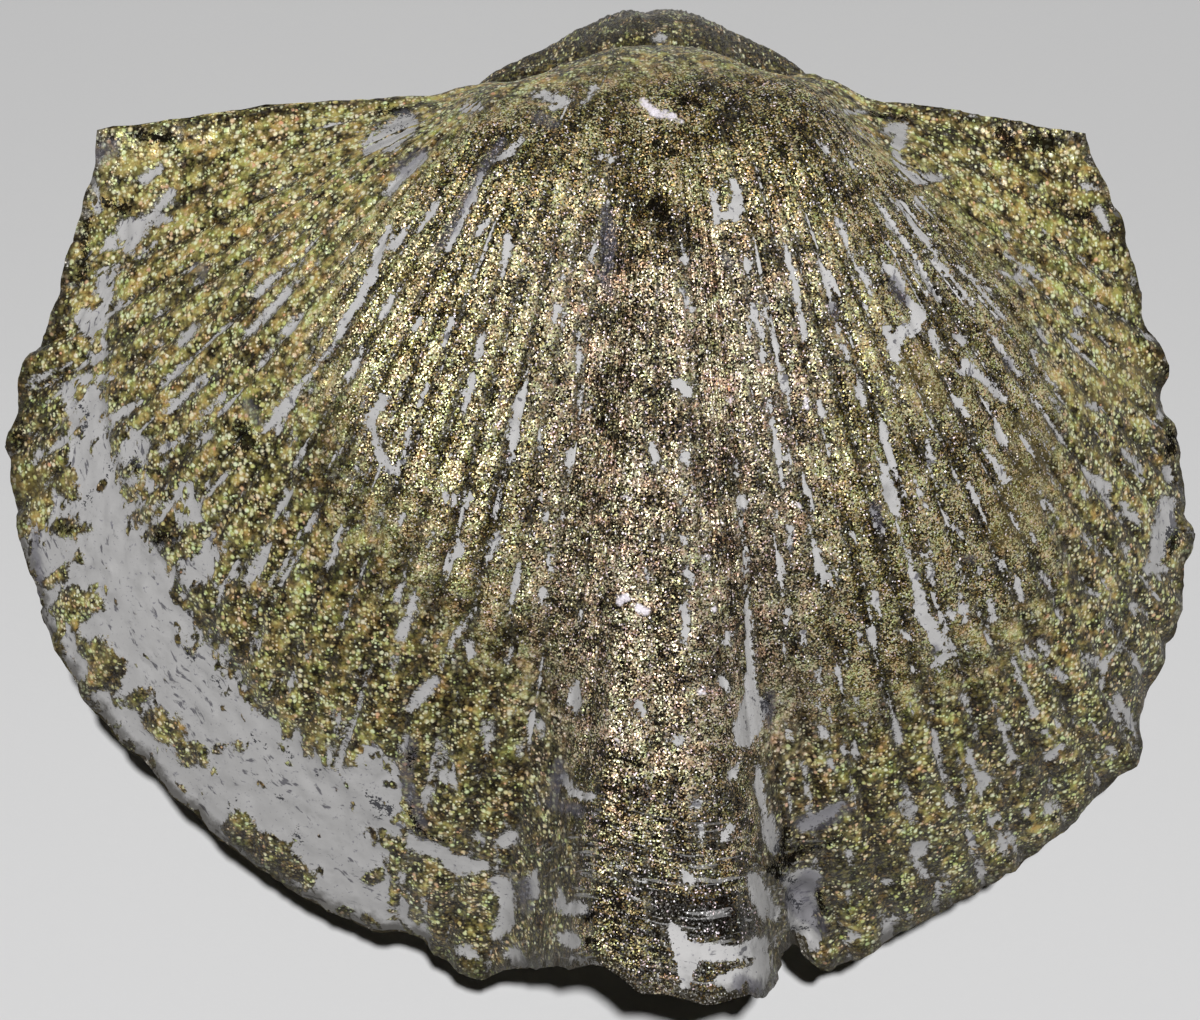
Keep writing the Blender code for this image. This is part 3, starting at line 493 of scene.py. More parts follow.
# Furrows and patches that are stained violet grey.
VIOLET_STAINS = [
    [(-7.0, 11.0, 0.2), (-6.3, 12.0, 0.28), (-5.9, 12.8, 0.22), (-5.3, 14.0, 0.22), (-4.2, 15.6, 0.18)],
    [(0.3, 10.3, 0.3), (0.4, 11.2, 0.34), (0.3, 12.6, 0.25)],
    [(0.1, 9.8, 0.25), (0.5, 9.0, 0.15)],
    [(-17.0, 10.2, 0.25), (-16.9, 9.8, 0.2)],
    [(11.7, 0.1, 0.28), (11.9, -0.8, 0.16)],
    [(9.9, 8.6, 0.2), (10.0, 8.1, 0.14)],
    [(17.3, 6.3, 0.18), (17.5, 6.0, 0.14)],
    [(12.5, 9.6, 0.3), (13.0, 8.8, 0.25)],
    [(-21.4, 14.9, 0.5), (-20.8, 15.3, 0.4)],
    [(-2.6, 16.6, 0.3), (-1.8, 16.3, 0.2)],
    [(-8.6, 14.4, 0.3), (-7.6, 15.2, 0.25)],
    [(5.3, 10.6, 0.28), (5.6, 10.4, 0.2)],
    [(-1.7, -10.9, 0.3), (-2.0, -12.6, 0.3), (-0.8, -12.9, 0.25)],
    [(8.7, -13.5, 0.4), (9.6, -13.2, 0.4), (10.4, -12.8, 0.36)],
    [(7.2, -7.9, 0.25), (7.2, -9.2, 0.2)],
    [(-8.0, -10.0, 0.3), (-8.3, -11.8, 0.3), (-7.6, -13.4, 0.3)],
    [(6.0, -20.2, 0.4), (6.7, -20.4, 0.3)],
    [(9.0, -15.9, 0.5), (8.2, -16.6, 0.5), (9.3, -17.8, 0.4)],
    [(-3.2, -16.0, 0.3), (-3.1, -17.0, 0.3)],
    [(-15.0, 4.4, 0.3), (-14.5, 3.6, 0.2)],
    [(14.1, -6.2, 0.22), (14.3, -6.0, 0.2)],
    [(15.6, -2.1, 0.2), (15.8, -2.2, 0.16)],
    [(-24.0, -1.2, 0.2), (-23.9, -5.0, 0.1)],
]

# Places where the crust is smoother and more golden.
GOLDEN_PATCHES = [
    [(-22.3, 14.8, 0.5), (-22.0, 14.2, 0.4)],
    [(-20.0, 14.4, 0.6), (-19.5, 14.6, 0.4)],
    [(-21.2, 14.1, 0.2), (-20.9, 13.4, 0.24)],
    [(-20.7, 5.4, 0.2), (-20.6, 5.1, 0.16)],
    [(-20.2, 4.2, 0.2), (-19.9, 4.1, 0.2)],
    [(-23.9, 1.0, 0.9), (-22.8, 1.1, 0.5)],
    [(-20.9, -6.2, 0.6), (-21.2, -7.1, 0.6)],
    [(-20.0, -8.2, 0.5), (-19.8, -8.1, 0.3)],
    [(-12.4, -9.3, 0.5), (-11.9, -10.3, 0.25)],
    [(16.3, -14.2, 0.3), (16.5, -14.4, 0.24)],
    [(14.7, -15.8, 0.24), (15.0, -15.6, 0.2)],
    [(13.4, 6.0, 1.0), (14.2, 4.8, 0.8)],
    [(18.4, 3.2, 1.2), (18.0, 0.6, 1.2), (17.2, -1.2, 1.0)],
    [(20.6, 4.6, 0.7), (23.0, 5.6, 0.8)],
    [(-8.6, 10.4, 0.5), (-8.0, 9.2, 0.5)],
    [(-8.4, -9.4, 0.3), (-7.6, -9.1, 0.3)],
    [(9.6, -15.9, 0.2), (10.1, -15.5, 0.16)],
    [(3.0, 13.0, 0.25), (3.6, 13.2, 0.2)],
    [(-7.2, -13.0, 0.35), (-6.4, -13.4, 0.2)],
    [(15.2, 4.6, 0.2), (15.6, 4.5, 0.2)],
]

# Places where the crust is darker.
DULL_PLACES = [
    [(-23.2, 15.9, 0.3), (-16.9, 16.7, 0.3), (-9.0, 17.5, 0.25)],
    [(13.0, 16.9, 0.25), (16.9, 16.3, 0.35), (20.3, 15.5, 0.3)],
    [(-22.9, 10.6, 0.4), (-23.3, 8.0, 0.7), (-23.7, 5.6, 0.9), (-24.1, 3.4, 1.0), (-24.4, 2.0, 0.5)],
    [(-20.6, -7.2, 0.5), (-20.0, -8.4, 0.5)],
    [(-16.0, -13.8, 0.8), (-13.4, -15.6, 0.8)],
    [(-18.6, -1.2, 0.7), (-16.4, -5.0, 0.6)],
    [(-17.0, -4.8, 0.5), (-15.4, -6.0, 0.5)],
    [(23.8, 7.4, 0.6), (24.3, 5.0, 0.8), (24.6, 0.0, 0.5)],
    [(14.0, 15.9, 0.3), (17.0, 15.8, 0.7), (18.6, 15.2, 0.7), (19.6, 15.0, 0.4)],
    [(19.6, 13.0, 0.7), (21.2, 12.4, 0.6)],
    [(9.6, -14.8, 0.5), (11.6, -15.4, 1.2), (14.0, -15.6, 0.8), (12.0, -17.2, 0.8)],
    [(16.0, -9.0, 0.8), (19.0, -11.4, 0.8)],
    [(22.8, -3.4, 0.6), (22.0, -9.0, 0.6)],
    [(1.0, 13.4, 0.5), (2.4, 12.4, 0.8), (3.6, 11.6, 0.6)],
    [(4.2, 18.0, 0.5), (5.6, 17.4, 0.5), (5.0, 16.0, 0.4)],
    [(3.2, -17.2, 1.0), (6.0, -17.6, 0.8)],
    [(-12.0, 1.6, 0.6), (-13.6, 0.0, 0.5)],
]

# Painted highlights: spots painted near white where clusters of crystal faces, and the back of the crest,
# catch the light.
PAINTED_HIGHLIGHTS = [
    [(0.9, -3.9, 0.2), (1.1, -3.8, 0.16)],
    [(1.7, -4.3, 0.22), (2.0, -4.4, 0.18)],
    [(4.2, -7.8, 0.1), (4.4, -7.8, 0.12)],
    [(0.6, -9.9, 0.1), (0.8, -9.9, 0.08)],
    [(1.8, 17.3, 0.1), (2.4, 16.8, 0.16), (3.0, 16.7, 0.16), (3.5, 16.4, 0.06)],
    [(5.5, 4.5, 0.08), (5.55, 4.7, 0.04)],
    [(8.8, 4.7, 0.08), (8.75, 4.2, 0.04)],
    [(2.6, 1.7, 0.05), (2.8, 1.6, 0.06)],
    [(1.1, 0.4, 0.06), (1.3, 0.5, 0.04)],
    [(4.4, -2.2, 0.07), (4.6, -2.1, 0.05)],
    [(4.8, -4.4, 0.06), (4.9, -4.3, 0.05)],
    [(8.3, 0.2, 0.06), (8.5, 0.0, 0.08)],
    [(-0.5, 4.2, 0.05), (-0.4, 4.2, 0.04)],
]

MARKS = {"dark": DARK_MARKS, "stain": VIOLET_STAINS, "gold": GOLDEN_PATCHES, "dull": DULL_PLACES,
         "painted_highlight": PAINTED_HIGHLIGHTS}


class FossilShape(bpy.types.PropertyGroup):
    """Sizes of the relief on both valves."""

    rib_height: FloatProperty(
        name="Rib Height", description="Furrow to crest of a rib at the margin of a flank",
        default=0.5 * MM, min=0.0, unit="LENGTH")
    riblet_height: FloatProperty(
        name="Riblet Height", description="Height of the two fine riblets that each rib carries",
        default=0.07 * MM, min=0.0, unit="LENGTH")
    growth_step: FloatProperty(
        name="Growth Step", description="Height of the steps where growth paused",
        default=0.05 * MM, min=0.0, unit="LENGTH")
    crust_depth: FloatProperty(
        name="Crust Depth", description="How far bare rock lies below the pyrite crust",
        default=0.07 * MM, min=0.0, unit="LENGTH")
    lump_height: FloatProperty(
        name="Lump Height", description="Height of the crust's lumps",
        default=0.07 * MM, min=0.0, unit="LENGTH")
    seam_gap: FloatProperty(
        name="Seam Gap", description="Opening between the two valves along their margin",
        default=0.1 * MM, min=0.0, unit="LENGTH")
    points_per_rib: IntProperty(
        name="Points per Rib", description="Mesh columns across each rib", default=11, min=4)
    rows: IntProperty(
        name="Rows", description="Mesh rows from margin to beak", default=158, min=20)


class FossilColours(bpy.types.PropertyGroup):
    """Colours of crust and rock."""

    tarnish: FloatVectorProperty(
        name="Tarnish", description="Darkest crust between the crystals",
        subtype="COLOR", size=3, min=0.0, max=1.0, default=(0.016, 0.011, 0.005))
    crust: FloatVectorProperty(
        name="Crust", description="Middle tone of the pyrite crust",
        subtype="COLOR", size=3, min=0.0, max=1.0, default=(0.205, 0.17, 0.062))
    # Painted glint: the brightest crystal faces, their glints painted into the crust's colour.
    painted_glint: FloatVectorProperty(
        name="Glint", description="Brightest crystal faces",
        subtype="COLOR", size=3, min=0.0, max=1.0, default=(1.0, 0.97, 0.70))
    rock: FloatVectorProperty(
        name="Rock", description="Bare rock where the crust is gone",
        subtype="COLOR", size=3, min=0.0, max=1.0, default=(0.60, 0.59, 0.585))
    stain: FloatVectorProperty(
        name="Stain", description="Violet grey stain in furrows and patches",
        subtype="COLOR", size=3, min=0.0, max=1.0, default=(0.12, 0.115, 0.145))


class FossilStage(bpy.types.PropertyGroup):
    """Floor, lights and camera."""

    floor_tone: FloatProperty(
        name="Floor Tone", description="Brightness of the paper floor",
        default=0.695, min=0.0, max=1.0, subtype="FACTOR")
    key_power: FloatProperty(
        name="Key Power", description="Power of the lamp overhead", default=87.0, min=0.0, unit="POWER")
    panel_power: FloatProperty(
        name="Panel Power", description="Power of the wide panel behind the shell",
        default=0.06, min=0.0, unit="POWER")
    fill: FloatProperty(
        name="Fill", description="Brightness of the light from all round", default=0.002, min=0.0)
    camera_height: FloatProperty(
        name="Camera Height", description="Height of the camera above the floor",
        default=0.26, min=0.05, unit="LENGTH")


def ease(low, high, value):
    """Rise smoothly from 0 at low to 1 at high; low may be the greater of the two."""
    share = np.clip((value - low) / (high - low), 0.0, 1.0)
    return share * share * (3.0 - 2.0 * share)


def roughness_of(points, size, octaves):
    """Return smooth noise with lumps of a given size at each point, roughly from -1 to 1."""
    return np.array([noise.fractal(point, 1.0, 2.0, octaves) for point in (points / size).tolist()])


def tongue_lift(points):
    """Return how far the tongue lifts the margin at each of its points."""
    x, y = points[:, 0], points[:, 1]
    crown_x, fall = TONGUE_CROWN
    sides = ease(*TONGUE_LEFT, x) * ease(*TONGUE_RIGHT, x)
    return np.where(y > 0.0, 0.0, TONGUE_RISE * sides * (1.0 - fall * (x - crown_x) ** 2))


def raised(plan):
    """Give points of the margin's outline their height."""
    height = SIDE_HEIGHT + SIDE_SLOPE * plan[:, 1] + tongue_lift(plan)
    return np.column_stack([plan, height])


def spline(points):
    """Return a smooth run in space through points of the margin's outline."""
    knots = np.array([points[0], *points, points[-1]])
    t = np.arange(SPLINE_STEPS)[:, None] / SPLINE_STEPS
    spans = [0.5 * (2 * b + (c - a) * t + (2 * a - 5 * b + 4 * c - d) * t ** 2
                    + (3 * b - a - 3 * c + d) * t ** 3)
             for a, b, c, d in zip(knots, knots[1:], knots[2:], knots[3:])]
    return raised(np.vstack([*spans, knots[-1:]]))


def even_points(run, count):
    """Return count points along a run, evenly apart, from its start to just before its end."""
    lengths = np.append(0.0, np.cumsum(np.linalg.norm(np.diff(run, axis=0), axis=1)))
    wanted = lengths[-1] * np.arange(count) / count
    return np.column_stack([np.interp(wanted, lengths, run[:, axis]) for axis in range(3)])


def hinge_points(per_span):
    """Return the points of the hinge, from its left end to just before its right end."""
    (left_x, left_y), (right_x, right_y) = LEFT_FLANK[-1], RIGHT_FLANK[0]
    share = np.arange(HINGE_SPANS * per_span) / (HINGE_SPANS * per_span)
    x = left_x + (right_x - left_x) * share
    points = raised(np.column_stack([x, np.full(len(x), left_y)]))
    points[:, 1] = left_y + (right_y - left_y) * share + HINGE_BOW * 4.0 * share * (1.0 - share)
    return points


Ring = namedtuple("Ring", "points stretch share phase")


def rib_wave(phase):
    """Return a rib's height, from 0 in its furrow to 1 on its crest; phase counts ribs."""
    wave = (np.sin(np.pi * phase) ** 2 + FURROW_ROUNDNESS) ** (0.5 * RIB_ROUNDNESS)
    lowest = FURROW_ROUNDNESS ** (0.5 * RIB_ROUNDNESS)
    highest = (1.0 + FURROW_ROUNDNESS) ** (0.5 * RIB_ROUNDNESS)
    return (wave - lowest) / (highest - lowest)


def margin_ring(shape):
    """Return the ring where the valves meet, from the right end of the hinge round the front."""
    run = spline(RIGHT_FLANK + TONGUE + LEFT_FLANK)
    first = (len(RIGHT_FLANK) - 1) * SPLINE_STEPS
    last = (len(RIGHT_FLANK) + len(TONGUE)) * SPLINE_STEPS
    per_rib = shape.points_per_rib
    stretches = [even_points(run[:first + 1], FLANK_RIBS * per_rib),
                 even_points(run[first:last + 1], TONGUE_RIBS * per_rib * 2),
                 even_points(run[last:], FLANK_RIBS * per_rib),
                 hinge_points(per_rib // 2)]
    ribs = [FLANK_RIBS, TONGUE_RIBS, FLANK_RIBS, 0]
    points = np.vstack(stretches)
    stretch = np.concatenate([np.full(len(run), number) for number, run in enumerate(stretches)])
    share = np.concatenate([np.arange(len(run)) / len(run) for run in stretches])
    phase = share * np.array(ribs)[stretch] + RIB_DRIFT * roughness_of(points, 3.5, 1)
    height = np.choose(stretch, [ease(0.0, EAR_FADE, share), np.full(len(share), TONGUE_RIB_SHARE),
                                 ease(1.0, 1.0 - EAR_FADE, share), np.zeros(len(share))])
    points[:, 2] += shape.rib_height / MM * height * (rib_wave(phase) - 0.5) * (stretch != BACK)
    return Ring(points, stretch, share, phase)


def row_angle(growth, size):
    """Return the angle that a growth row of a given size is turned by."""
    wanted = -math.log(size)
    if growth.decay_gain == 0.0:
        swept = wanted / growth.decay
    else:
        root = math.sqrt(growth.decay ** 2 + 4.0 * growth.decay_gain * wanted)
        swept = (root - growth.decay) / (2.0 * growth.decay_gain)
    return math.copysign(swept, growth.turn)


def end_size(growth):
    """Return the size of the last growth row, at the beak."""
    swept = abs(growth.turn)
    return math.exp(-(growth.decay * swept + growth.decay_gain * swept ** 2))


def flank_middle(ring):
    """Return how near each point of the ring is to the middle of a flank, from 0 to 1."""
    flank = (ring.stretch == RIGHT) | (ring.stretch == LEFT)
    return np.where(flank, np.sin(np.pi * ring.share), 0.0)


def drawn_back(points):
    """Return how far back the stretch of the hinge that each point lies by is drawn."""
    distance = sum(pull.distance * ease(pull.half_width, 0.0, np.abs(points[:, 0] - pull.x))
                   for pull in PULLS)
    return distance * ease(*PULL_SPAN, points[:, 1])


def grown_row(growth, ring, size):
    """Carry the whole ring along the growth spiral to the row of a given size."""
    pole = np.array(growth.pole)
    reach = ring.points - pole
    reach[:, 2] -= tongue_lift(ring.points) * (1.0 - size ** EARLY_FOLD)
    reach[:, 0] *= size ** (-growth.early_breadth * ease(*BREADTH_FADE, np.abs(reach[:, 0])))
    turn = np.array(Matrix.Rotation(row_angle(growth, size), 3, "X"))
    row = pole + reach @ turn.T * size
    up = math.sin(math.pi * size ** (math.log(0.5) / math.log(growth.full_size)))
    row[:, 2] += growth.swell * flank_middle(ring) * up
    row[:, 1] += drawn_back(row)
    return row


def ragged_margin(ring, size):
    """Return how far the margin's bumps, nicks and scallops move a row's points, out in plan."""
    points = ring.points
    out = points[:, :2] - np.array(FILL_CENTRE[:2])
    out /= np.linalg.norm(out, axis=1, keepdims=True)
    far = roughness_of(points, 1.7, 4) * MARGIN_NOISE
    far += SCALLOP * (rib_wave(ring.phase) - 0.5) * (ring.stretch != BACK)
    for nick in NICKS:
        away = np.hypot(points[:, 0] - nick.x, points[:, 1] - nick.y)
        far += nick.outward * ease(1.0, 0.2, away / nick.half_width / 1.5)
    return out * (far * ease(MARGIN_FADE, 1.0, size))[:, None]


def ledge_wear(ring, size, ragged):
    """Return how far the missing crust lowers the left flank outside the ledge."""
    along = np.where(ring.stretch == LEFT, np.sin(np.pi * ring.share), 0.0)
    ledge = LEDGE_START - LEDGE_REACH * along + ragged
    step = ease(ledge - 0.5 * LEDGE_WIDTH, ledge + 0.5 * LEDGE_WIDTH, size)
    return LEDGE_DEPTH * along * step * np.minimum((1.0 - size) / (1.0 - ledge), 1.0)


def seen_from_above(points):
    """Return where points fall on the level plan that marks are laid out on."""
    drop = (EYE[2] - PLAN_HEIGHT) / (EYE[2] - points[:, 2])
    return (points[:, :2] - EYE[:2]) * drop[:, None]


def depth_inside(plan, marks, far=FAR):
    """Return how far inside the nearest mark each plan point is; outside it is negative."""
    inside = np.full(len(plan), -far)
    for mark in marks:
        for start, end in zip(mark, mark[1:]):
            start, end = np.array(start), np.array(end)
            run = end[:2] - start[:2]
            share = np.clip((plan - start[:2]) @ run / max(run @ run, 1e-9), 0.0, 1.0)
            away = np.linalg.norm(plan - start[:2] - share[:, None] * run, axis=1)
            np.maximum(inside, start[2] + (end[2] - start[2]) * share - away, out=inside)
    return inside


def grid_normals(rows):
    """Return unit normals of a grid of rows that close on themselves, facing outwards."""
    across = np.roll(rows, -1, axis=1) - np.roll(rows, 1, axis=1)
    along = np.gradient(rows, axis=0)
    normals = np.cross(across, along)
    normals /= np.maximum(np.linalg.norm(normals, axis=2, keepdims=True), 1e-9)
    outward = ((rows - rows.mean(axis=(0, 1))) * normals).sum()
    return normals if outward > 0.0 else -normals


def grown_places(ring, sizes):
    """Return places that follow growth: round a circle as long as the margin, and up by size."""
    closed = np.vstack([ring.points, ring.points[:1]])
    lengths = np.append(0.0, np.cumsum(np.linalg.norm(np.diff(closed, axis=0), axis=1)))
    turn = np.tile(lengths[:-1] / lengths[-1] * math.tau, len(sizes) // len(ring.points))
    radius = lengths[-1] / math.tau
    return np.column_stack([radius * np.cos(turn), radius * np.sin(turn), sizes * GROWN_HEIGHT])


class Valve:
    """One valve's outer surface as a grid of rows, with what is known at each of its points."""

    def __init__(self, growth, shape):
        self.growth = growth
        self.shape = shape
        self.ring = margin_ring(shape)
        self.sizes = np.linspace(1.0, end_size(growth), shape.rows)
        self.rows = np.array([grown_row(growth, self.ring, size) for size in self.sizes])
        for row, size in zip(self.rows, self.sizes):
            if size > MARGIN_FADE:
                row[:, :2] += ragged_margin(self.ring, size)
        count = len(self.ring.points)
        self.flat_size = np.repeat(self.sizes, count)
        self.phase = np.tile(self.ring.phase, shape.rows)
        self.stretch = np.tile(self.ring.stretch, shape.rows)
        self.grown = grown_places(self.ring, self.flat_size)
        self.marks = {}

    def flat(self):
        """Return the grid's points as one list, in the part's own frame, in millimetres."""
        return self.rows.reshape(-1, 3) - FOOT

    def raise_by(self, heights):
        """Move the surface outwards by a height at each point."""
        self.rows += grid_normals(self.rows) * heights.reshape(*self.rows.shape[:2], 1)

    def lower_by(self, depths):
        """Move the surface down by a depth at each point."""
        self.rows[:, :, 2] -= depths.reshape(self.rows.shape[:2])


def facing_up(valve):
    """Return from 0 to 1 how much of the surface an eye above sees at each point."""
    return ease(*FACING_UP, grid_normals(valve.rows)[:, :, 2].ravel())


def wild_streaks(valve, seed):
    """Return streaks along the ribs, as depth_inside does, for places that no mark describes."""
    return (roughness_of(valve.grown * STREAK_PACKING + seed, 1.0, 2) - 0.36) * 0.7


def ragged_band(points, plan):
    """Return how far inside the bare band, with its ragged edge, each point is."""
    band = depth_inside(plan, BARE_BAND, BAND_REACH)
    return band + 0.5 * roughness_of(points, 1.7, 3) + 0.35 * roughness_of(points, 0.55, 2)


def small_gaps(valve, plan, band, seed):
    """Return the crust's small gaps, as depth_inside does: scattered, or along the furrows."""
    scattered = roughness_of(valve.grown * GAP_PACKING + seed, 1.0, 3) - 0.64
    scattered += 0.42 * ease(-0.8 * BAND_REACH, 0.0, band) - 0.4 * ease(3.0, 9.0, plan[:, 1])
    scattered -= 0.4 * (valve.stretch == FRONT)
    furrows = roughness_of(valve.grown * FURROW_PACKING - seed, 1.0, 3) * 0.9 - 0.44
    furrows += 0.5 * (0.35 - rib_wave(valve.phase)) - 0.3 * ease(10.0, 14.0, plan[:, 1])
    furrows -= 0.5 * ((valve.stretch == FRONT) | (valve.stretch == BACK))
    return np.maximum(scattered * 0.7, furrows * 0.45)


def crust_left(points, plan, band, seed):
    """Return the crust that is left on the bare band, as depth_inside does."""
    scraps = depth_inside(plan, CRUST_SCRAPS) + 0.3 * roughness_of(points, 0.8, 3)
    islands = roughness_of(points + seed, 0.6, 2) - 0.62 + 0.4 * ease(1.3, 0.1, band)
    islands -= 2.0 * ease(0.0, -0.25, band)
    return np.maximum(scraps, islands)


def read_marks(valve, seed):
    """Work out what each mark does at each point of the valve, and keep it by its name."""
    points = valve.flat()
    plan = seen_from_above(points)
    above = facing_up(valve)
    ragged = RAGS * roughness_of(points, 0.9, 3)
    band = ragged_band(points, plan)
    bare = np.maximum(band, small_gaps(valve, plan, band, seed))
    bare = np.maximum(bare, depth_inside(plan, BARE_STREAKS))
    bare = np.minimum(bare, -crust_left(points, plan, band, seed)) + ragged
    valve.marks["bare"] = bare * above + wild_streaks(valve, seed) * (1.0 - above)
    for name, marks in MARKS.items():
        inside = depth_inside(plan, marks) + 0.5 * ragged
        valve.marks[name] = inside * above - FAR * (1.0 - above)


def riblets(valve):
    """Return the height of the fine riblets that each rib carries."""
    ribbed = (valve.stretch != BACK) * ease(*RIBLETS_FROM, valve.flat_size)
    doubled = rib_wave(valve.phase * np.where(valve.stretch == FRONT, 4.0, 2.0)) - 0.5
    return valve.shape.riblet_height / MM * ribbed * doubled


def growth_steps(valve, seed):
    """Return the height of the steps where growth paused."""
    drift = roughness_of(valve.flat() + seed, 5.0, 2)
    pause = (valve.flat_size * PAUSES + drift * PAUSE_DRIFT) % 1.0
    return valve.shape.growth_step / MM * pause ** 3 * ease(*STEPS_FROM, valve.flat_size)


def worn_ribs(valve):
    """Return how far the flanks' ribs stand out less, or their furrows more, where wear evens them."""
    evened = np.clip(0.35 + 0.4 * roughness_of(valve.flat(), 4.0, 2), 0.0, 1.0)
    on_band = ease(*BAND_WEAR_SPAN, valve.marks["bare"]) * (valve.stretch == LEFT)
    evened = np.maximum(evened, BAND_WEAR * on_band)
    ribs = valve.shape.rib_height / MM * valve.flat_size * (rib_wave(valve.phase) - 0.5)
    return evened * ribs * ((valve.stretch == LEFT) | (valve.stretch == RIGHT))


def relief(valve, seed):
    """Return how far crust, riblets, growth steps and lumps stand out at each point."""
    points = valve.flat()
    shape = valve.shape
    bare = ease(*CRUST_EDGE, valve.marks["bare"])
    strength = 1.0 + 0.5 * roughness_of(points, 6.0, 1)
    fine = strength * (riblets(valve) * (1.0 - bare) + growth_steps(valve, seed))
    lumps = roughness_of(points, 1.3, 3) + 0.5 * roughness_of(points, 0.45, 2)
    lumps *= shape.lump_height / MM * (1.0 - BARE_SMOOTHNESS * bare)
    return fine + lumps - worn_ribs(valve) - shape.crust_depth / MM * bare


def inside_chip(chip, points):
    """Return from 0 outside a chip to 1 on its floor at each point."""
    turn = math.radians(chip.turn)
    x, y = points[:, 0] - chip.x, points[:, 1] - chip.y
    along = np.abs(x * math.cos(turn) + y * math.sin(turn)) / chip.half_x
    across = np.abs(y * math.cos(turn) - x * math.sin(turn)) / chip.half_y
    away = (along ** chip.squareness + across ** chip.squareness) ** (1.0 / chip.squareness)
    return ease(1.0, CHIP_FLOOR, away)


def wear_upper(valve):
    """Lower the upper valve where its crust or whole chips of it are gone."""
    points = valve.rows.reshape(-1, 3)
    ragged = (roughness_of(points, 1.6, 3) * LEDGE_RAGS).reshape(valve.rows.shape[:2])
    worn = np.array([ledge_wear(valve.ring, *row) for row in zip(valve.sizes, ragged)]).ravel()
    rough = 1.0 + CHIP_ROUGHNESS * roughness_of(points, 0.8, 2)
    for chip in CHIPS:
        worn += chip.depth * rough * inside_chip(chip, points)
    valve.lower_by(worn)


def valve_bmesh(valve, seam_shift):
    """Make the valve's closed mesh from a grid that is bent into shape and merged at its ends."""
    count = valve.rows.shape[1]
    pole = np.tile(np.array(valve.growth.pole), (1, count, 1))
    fill = np.tile(np.array(FILL_CENTRE), (1, count, 1))
    rows = np.concatenate([fill, valve.rows, pole])
    rows = np.concatenate([rows, rows[:, :1]], axis=1)
    places = (rows.reshape(-1, 3) - FOOT + (0.0, 0.0, seam_shift)) * MM
    places[:, 2] = np.maximum(places[:, 2], 0.0)
    bm = bmesh.new()
    bmesh.ops.create_grid(bm, x_segments=rows.shape[1] - 1, y_segments=rows.shape[0] - 1, size=1.0)
    number_of = bm.verts.layers.int.new("grid_number")
    bm.verts.ensure_lookup_table()
    for number, (vert, place) in enumerate(zip(bm.verts, places.tolist())):
        vert.co = place
        vert[number_of] = number
    bmesh.ops.remove_doubles(bm, verts=bm.verts, dist=1e-7)
    bmesh.ops.recalc_face_normals(bm, faces=bm.faces)
    return bm


def keep_marks(mesh, valve):
    """Store what the materials read at each vertex as the mesh's own attributes."""
    numbers = np.empty(len(mesh.vertices), dtype=np.int32)
    mesh.attributes["grid_number"].data.foreach_get("value", numbers)
    width = valve.rows.shape[1] + 1
    row = np.clip(numbers // width - 1, 0, valve.rows.shape[0] - 1)
    column = numbers % width % valve.rows.shape[1]
    source = row * valve.rows.shape[1] + column
    for name, values in valve.marks.items():
        layer = mesh.attributes.new(name, "FLOAT", "POINT")
        layer.data.foreach_set("value", values[source].astype(np.float32))
    layer = mesh.attributes.new("grown", "FLOAT_VECTOR", "POINT")
    layer.data.foreach_set("vector", valve.grown[source].astype(np.float32).ravel())
    mesh.attributes.remove(mesh.attributes["grid_number"])


def add_valve(name, valve, seam_shift, material, node):
    """Turn a finished valve into the visible piece that stands for a node."""
    bm = valve_bmesh(valve, seam_shift)
    mesh = bpy.data.meshes.new(name)
    bm.to_mesh(mesh)
    bm.free()
    keep_marks(mesh, valve)
    mesh.shade_smooth()
    mesh.set_sharp_from_angle(angle=math.radians(60))
    mesh.materials.append(material)
    piece = bpy.data.objects.new(name, mesh)
    bpy.context.scene.collection.objects.link(piece)
    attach(piece, "root")
    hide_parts(node)


def read_tones(valve):
    """Work out the broad tones that the materials mix by at each point."""
    points = valve.flat()
    x, y, z = points.T
    stray = roughness_of(points, 3.0, 3)
    across = ease(*FOLD_LEFT, x + stray) * ease(*FOLD_RIGHT, x + stray)
    height = z + FINE_SLOPE * (x - np.minimum(y, 0.0)) + EAR_SLOPE * np.maximum(y - EAR_START, 0.0)
    # crest is read by the crust as painted shade: furrows darker, crests lighter.
    valve.marks["crest"] = np.where(valve.stretch == BACK, HINGE_RIB_SHADE, rib_wave(valve.phase))
    valve.marks["fold"] = across * ease(*FOLD_BACK, y + stray) * facing_up(valve)
    valve.marks["coarse"] = ease(*COARSE_BELOW, height + 0.5 * stray)


Clouds = namedtuple("Clouds", "size detail roughness")        # noise; size in millimetres


